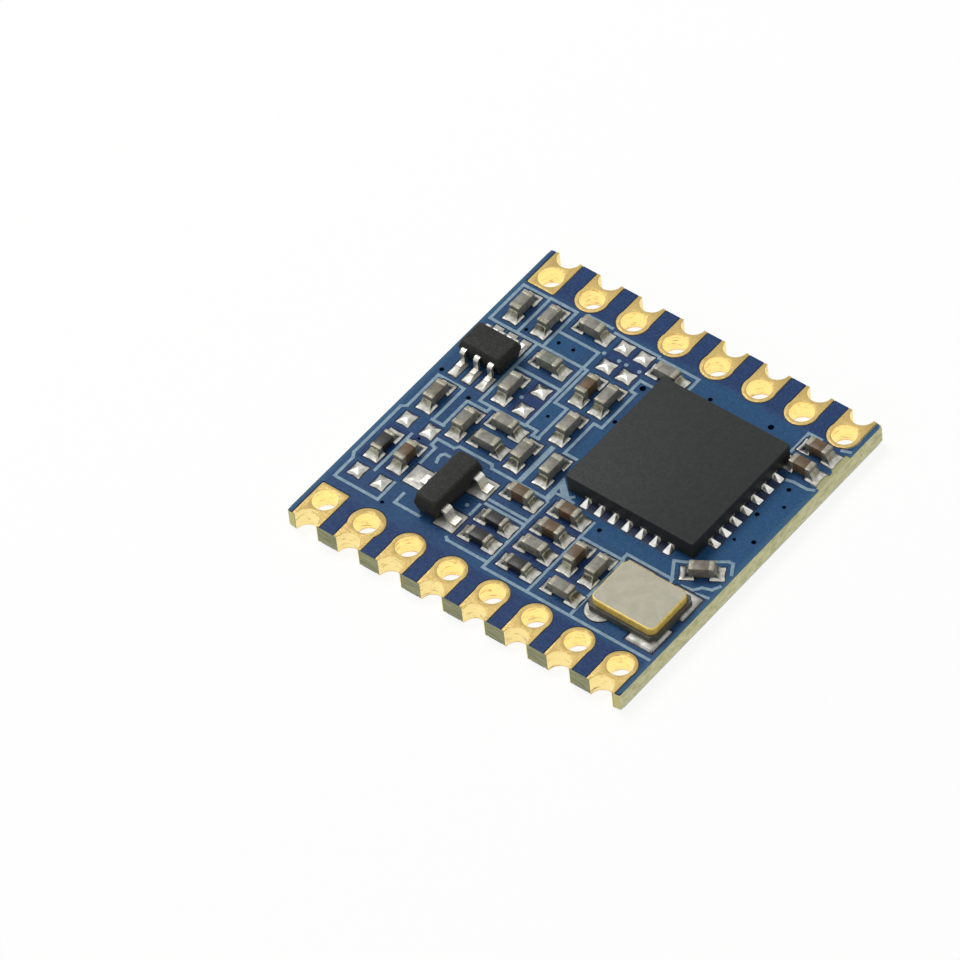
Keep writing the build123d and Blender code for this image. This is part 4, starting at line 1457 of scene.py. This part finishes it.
@dataclass
class LeadedPackages:
    """The antenna switch and the regulator, with the solder at their leads."""
    finishes: Finishes
    solder: Solder
    switch: Moulding = Moulding("antenna_switch_body", "antenna_switch_package", 0.62, 0.1, 0.06)
    switch_pitch: float = 0.66
    switch_slip: float = 0.07        # how far its feet lie off the middle of its leads
    regulator: Moulding = Moulding("regulator_body", "regulator_package", 0.52, 0.22, 0.1)
    regulator_pitch: float = 0.96
    regulator_slip: float = 0.3
    switch_foot: tuple = (Heap(0.0, 0.68, 1.5, 0.215), Heap(0.045, 0.69, 1.49, 0.205),
                          Heap(0.065, 0.72, 1.45, 0.17), Heap(0.12, 0.78, 1.2, 0.12),
                          Heap(0.15, 0.82, 1.08, 0.1))
    regulator_foot: tuple = (Heap(0.0, 0.65, 1.6, 0.49), Heap(0.045, 0.66, 1.59, 0.48),
                             Heap(0.06, 0.7, 1.55, 0.42), Heap(0.1, 0.84, 1.42, 0.3),
                             Heap(0.13, 0.92, 1.3, 0.24))
    pinch: float = 0.04

    def _switch_feet(self) -> list[Bench]:
        """The solder at the switch's six leads.

        Returns:
            The heaps.
        """
        model = self.solder.heap("foot_small", self.switch_foot, pinch=self.pinch)
        middle = middle_mm("antenna_switch_leads")
        y = middle.y - self.switch_slip
        feet = [model.twin("foot", (middle.x + self.switch_pitch * step, y, 0), turn)
                for turn in (90, 270) for step in (-1, 0, 1)]
        model.drop()
        return feet

    def _regulator_feet(self) -> list[Bench]:
        """The solder at the regulator's three leads.

        Returns:
            The heaps.
        """
        feet = []
        middle = middle_mm("regulator_leads")
        for turn, step, side in ((180, 0, 1), (0, -1, -1), (0, 1, -1)):
            slip = side * self.regulator_slip
            levels = [replace(heap, inner=heap.inner + slip, outer=heap.outer + slip)
                      for heap in self.regulator_foot]
            model = self.solder.heap("foot_big", levels, pinch=self.pinch)
            feet.append(model.twin("foot", (middle.x, middle.y + step * self.regulator_pitch, 0), turn))
            model.drop()
        return feet

    def build(self) -> None:
        """Build both packages and their solder."""
        for moulding in (self.switch, self.regulator):
            moulding.build(self.finishes.rough_moulding)
        self.solder.finish("solder_at_leads", [*self._switch_feet(), *self._regulator_feet()],
                           self.finishes.tinned_land)


@dataclass
class Crystal:
    """The crystal's lid, and the solder at its four lands, of which the first is round."""
    finishes: Finishes
    solder: Solder
    lid_corner: float = 0.3
    lid_rounding: float = 0.05
    lid_margin: float = 0.012        # keeps the lid's top flat inside its rounding
    land_length: float = 1.3
    land_width: float = 1.32
    land_height: float = 0.12
    land_taper: float = 0.86
    land_rounding: float = 0.04
    reach: tuple = (1.76, 1.59)      # from the middle to the lands' outer edges
    first_land: tuple = (-1.11, -0.99, 0.6)       # place and radius
    first_land_height: float = 0.07
    first_land_rounding: float = 0.03
    blob: tuple = (1.68, -1.51, 0.09)             # solder heaped in the corner of one land
    blob_height: float = 0.2
    blob_taper: float = 0.5

    def _lid(self) -> None:
        """The metal lid, gold where its edge slopes down."""
        low, high = box_mm("crystal_lid")
        lid = Bench("crystal_lid_plate").block(tuple(low), tuple(high))
        lid.bevel(self.lid_corner, 6, upright)
        lid.bevel_rim(self.lid_rounding, 3, high.z)
        lid.select(Element.FACE, lambda c, n: n.z > 0.99)
        bpy.ops.mesh.inset(thickness=self.lid_margin, depth=0.0)
        lid.clear()
        lid.paint_faces(1, lambda c, n: n.z < 0.98)
        lid.seat([self.finishes.lid, self.finishes.seam], "crystal_lid", ["crystal_lid"])

    def _land(self, middle: Vector, side_x: int, side_y: int) -> Bench:
        """The solder on one square land.

        Args:
            middle: Middle of the crystal.
            side_x: Which side of it along X.
            side_y: Which side along Y.

        Returns:
            The solder.
        """
        half_x, half_y = self.land_length / 2, self.land_width / 2
        x = middle.x + side_x * (self.reach[0] - half_x)
        y = middle.y + side_y * (self.reach[1] - half_y)
        top = LAMINATE_TOP + self.land_height
        land = Bench("corner").block((x - half_x, y - half_y, LAMINATE_TOP), (x + half_x, y + half_y, top))
        land.select(Element.FACE, facing_up).spread((self.land_taper, self.land_taper, 1), (x, y, top))
        return land.bevel(self.land_rounding)

    @staticmethod
    def _drum(name: str, middle: Vector, sizes: Triple, height: float, sides: int) -> tuple[Bench, Triple]:
        """A round start on the board.

        Args:
            name: Name of the piece.
            middle: Middle of the crystal.
            sizes: Place beside that middle, and radius.
            height: Its height.
            sides: How many sides it has.

        Returns:
            The drum and the middle of its top.
        """
        x, y, radius = middle.x + sizes[0], middle.y + sizes[1], sizes[2]
        top = LAMINATE_TOP + height
        return Bench(name).drum(x, y, LAMINATE_TOP, top, radius, sides), (x, y, top)

    def build(self) -> None:
        """Build the lid and the solder."""
        self._lid()
        middle = middle_mm("crystal_base")
        placed = [self._land(middle, *sides) for sides in ((1, -1), (1, 1), (-1, 1))]
        first, _ = self._drum("first_land", middle, self.first_land, self.first_land_height, 48)
        placed.append(first.bevel_rim(self.first_land_rounding, 2, LAMINATE_TOP + self.first_land_height))
        for piece in placed:
            piece.smooth_out(1)
        blob, top = self._drum("corner_blob", middle, self.blob, self.blob_height, 12)
        blob.select(Element.FACE, facing_up).spread((self.blob_taper, self.blob_taper, 1), top)
        placed.append(blob.smooth_out(2))
        self.solder.finish("solder_at_crystal", placed, self.finishes.tinned_land, self.solder.slight_swell)


@dataclass(frozen=True)
class Studio:
    """Pale floor, soft light and the camera."""
    azimuth: float = 43.55       # degrees
    elevation: float = 48.71
    roll: float = -6.63
    distance: float = 321.79     # millimetres from the board's middle, along the view
    right: float = 3.917         # how far the board's middle lies right of and below the view's axis
    below: float = -0.475
    pad_thickness: float = 0.035
    lens: float = 322.9
    sensor: float = 36.0
    floor_side: float = 3.0      # metres
    floor_drop: float = 0.02     # millimetres under the module, so that its underside stays clear
    floor_glow: float = 0.82     # share of the floor that the camera sees as plain white
    dim: float = 0.42            # the sky's strength for what it lights, where it shows as 1
    key: tuple = ((-0.16, 0.05, 0.26), 0.12, 0.42)       # each lamp's place and side in metres, and its watts
    fill: tuple = ((-0.05, -0.3, 0.18), 0.2, 0.1)

    def camera(self) -> None:
        """Set the camera up."""
        turn = Matrix.Identity(4)
        for degrees, axis in ((self.azimuth, "Z"), (90 - self.elevation, "X"), (self.roll, "Z")):
            turn = turn @ Matrix.Rotation(math.radians(degrees), 4, axis)
        place = turn @ Vector((-self.right, self.below, self.distance))
        place.z += LAMINATE_TOP + self.pad_thickness
        data = bpy.data.cameras.new("camera")
        data.lens = self.lens
        data.sensor_width = self.sensor
        data.clip_start, data.clip_end = 0.01, 10.0
        camera = bpy.data.objects.new("camera", data)
        bpy.context.scene.collection.objects.link(camera)
        camera.matrix_world = Matrix.Translation(place * MM) @ turn
        bpy.context.scene.camera = camera

    @staticmethod
    def lamp(name: str, place: Triple, size: float, watts: float) -> None:
        """Add a soft square lamp that faces the module.

        Args:
            name: Its name.
            place: Its place in metres.
            size: Its side in metres.
            watts: Its strength.
        """
        data = bpy.data.lights.new(name, "AREA")
        data.energy = watts
        data.size = size
        lamp = bpy.data.objects.new(name, data)
        bpy.context.scene.collection.objects.link(lamp)
        lamp.location = place
        lamp.rotation_euler = Vector(place).to_track_quat("Z", "Y").to_euler()

    def _floor_material(self) -> Material:
        """A pale finish that is clear from below.

        Returns:
            The material.
        """
        material = bpy.data.materials.new("pale_floor")
        material.use_nodes = True
        graph = Graph(material.node_tree)
        shader = material.node_tree.nodes["Principled BSDF"]
        shader.inputs["Base Color"].default_value = (0.86, 0.86, 0.85, 1)
        shader.inputs["Roughness"].default_value = 0.8
        glow = graph.add("Emission", {0: (1, 1, 1, 1), 1: 1.05})[0]
        seen = graph.math("MULTIPLY", graph.add("LightPath")["Is Camera Ray"], self.floor_glow)
        above = graph.add("MixShader", {0: seen, 1: shader.outputs[0], 2: glow})[0]
        below = graph.add("NewGeometry")["Backfacing"]
        shown = graph.add("MixShader", {0: below, 1: above, 2: graph.add("BsdfTransparent")[0]})[0]
        graph.feed(material.node_tree.nodes["Material Output"], 0, shown)
        return material

    def floor(self) -> None:
        """A pale floor that keeps the module's shadow, and lets the light pass."""
        Bench.clear()
        bpy.ops.mesh.primitive_plane_add(size=self.floor_side, location=(0, 0, -self.floor_drop * MM))
        plane = bpy.context.active_object
        plane.name = "floor"
        plane.visible_diffuse = plane.visible_glossy = plane.visible_transmission = False
        plane.visible_shadow = False
        bpy.ops.object.transform_apply(location=True, rotation=True, scale=True)
        plane.data.materials.append(self._floor_material())

    def light(self) -> None:
        """Plain soft light from above the module's back left, under a pale sky."""
        world = bpy.data.worlds.new("pale_room")
        bpy.context.scene.world = world
        world.use_nodes = True
        graph = Graph(world.node_tree)
        path = graph.add("LightPath")
        seen = graph.math("MAXIMUM", path["Is Camera Ray"], path["Is Transmission Ray"])
        seen = graph.math("MAXIMUM", seen, path["Is Glossy Ray"])
        sky = world.node_tree.nodes["Background"]
        sky.inputs[0].default_value = (1, 1, 1, 1)
        graph.feed(sky, 1, graph.stretch(seen, 0.0, 1.0, self.dim, 1.0))
        self.lamp("key_lamp", *self.key)
        self.lamp("fill_lamp", *self.fill)

    def build(self) -> None:
        """Set up the camera, the floor and the light."""
        bpy.context.scene.view_settings.view_transform = "Standard"
        self.camera()
        self.floor()
        self.light()


def main() -> None:
    """Build the module and its studio."""
    logging.basicConfig(level=logging.INFO, format="%(name)s: %(message)s")
    finishes = Finishes(Effects())
    solder = Solder(finishes)
    for built in (Studio(), Board(finishes), Contacts(finishes), ChipParts(finishes, solder),
                  Transceiver(finishes, solder), LeadedPackages(finishes, solder), Crystal(finishes, solder)):
        built.build()
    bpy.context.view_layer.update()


if __name__ == "__main__":
    main()
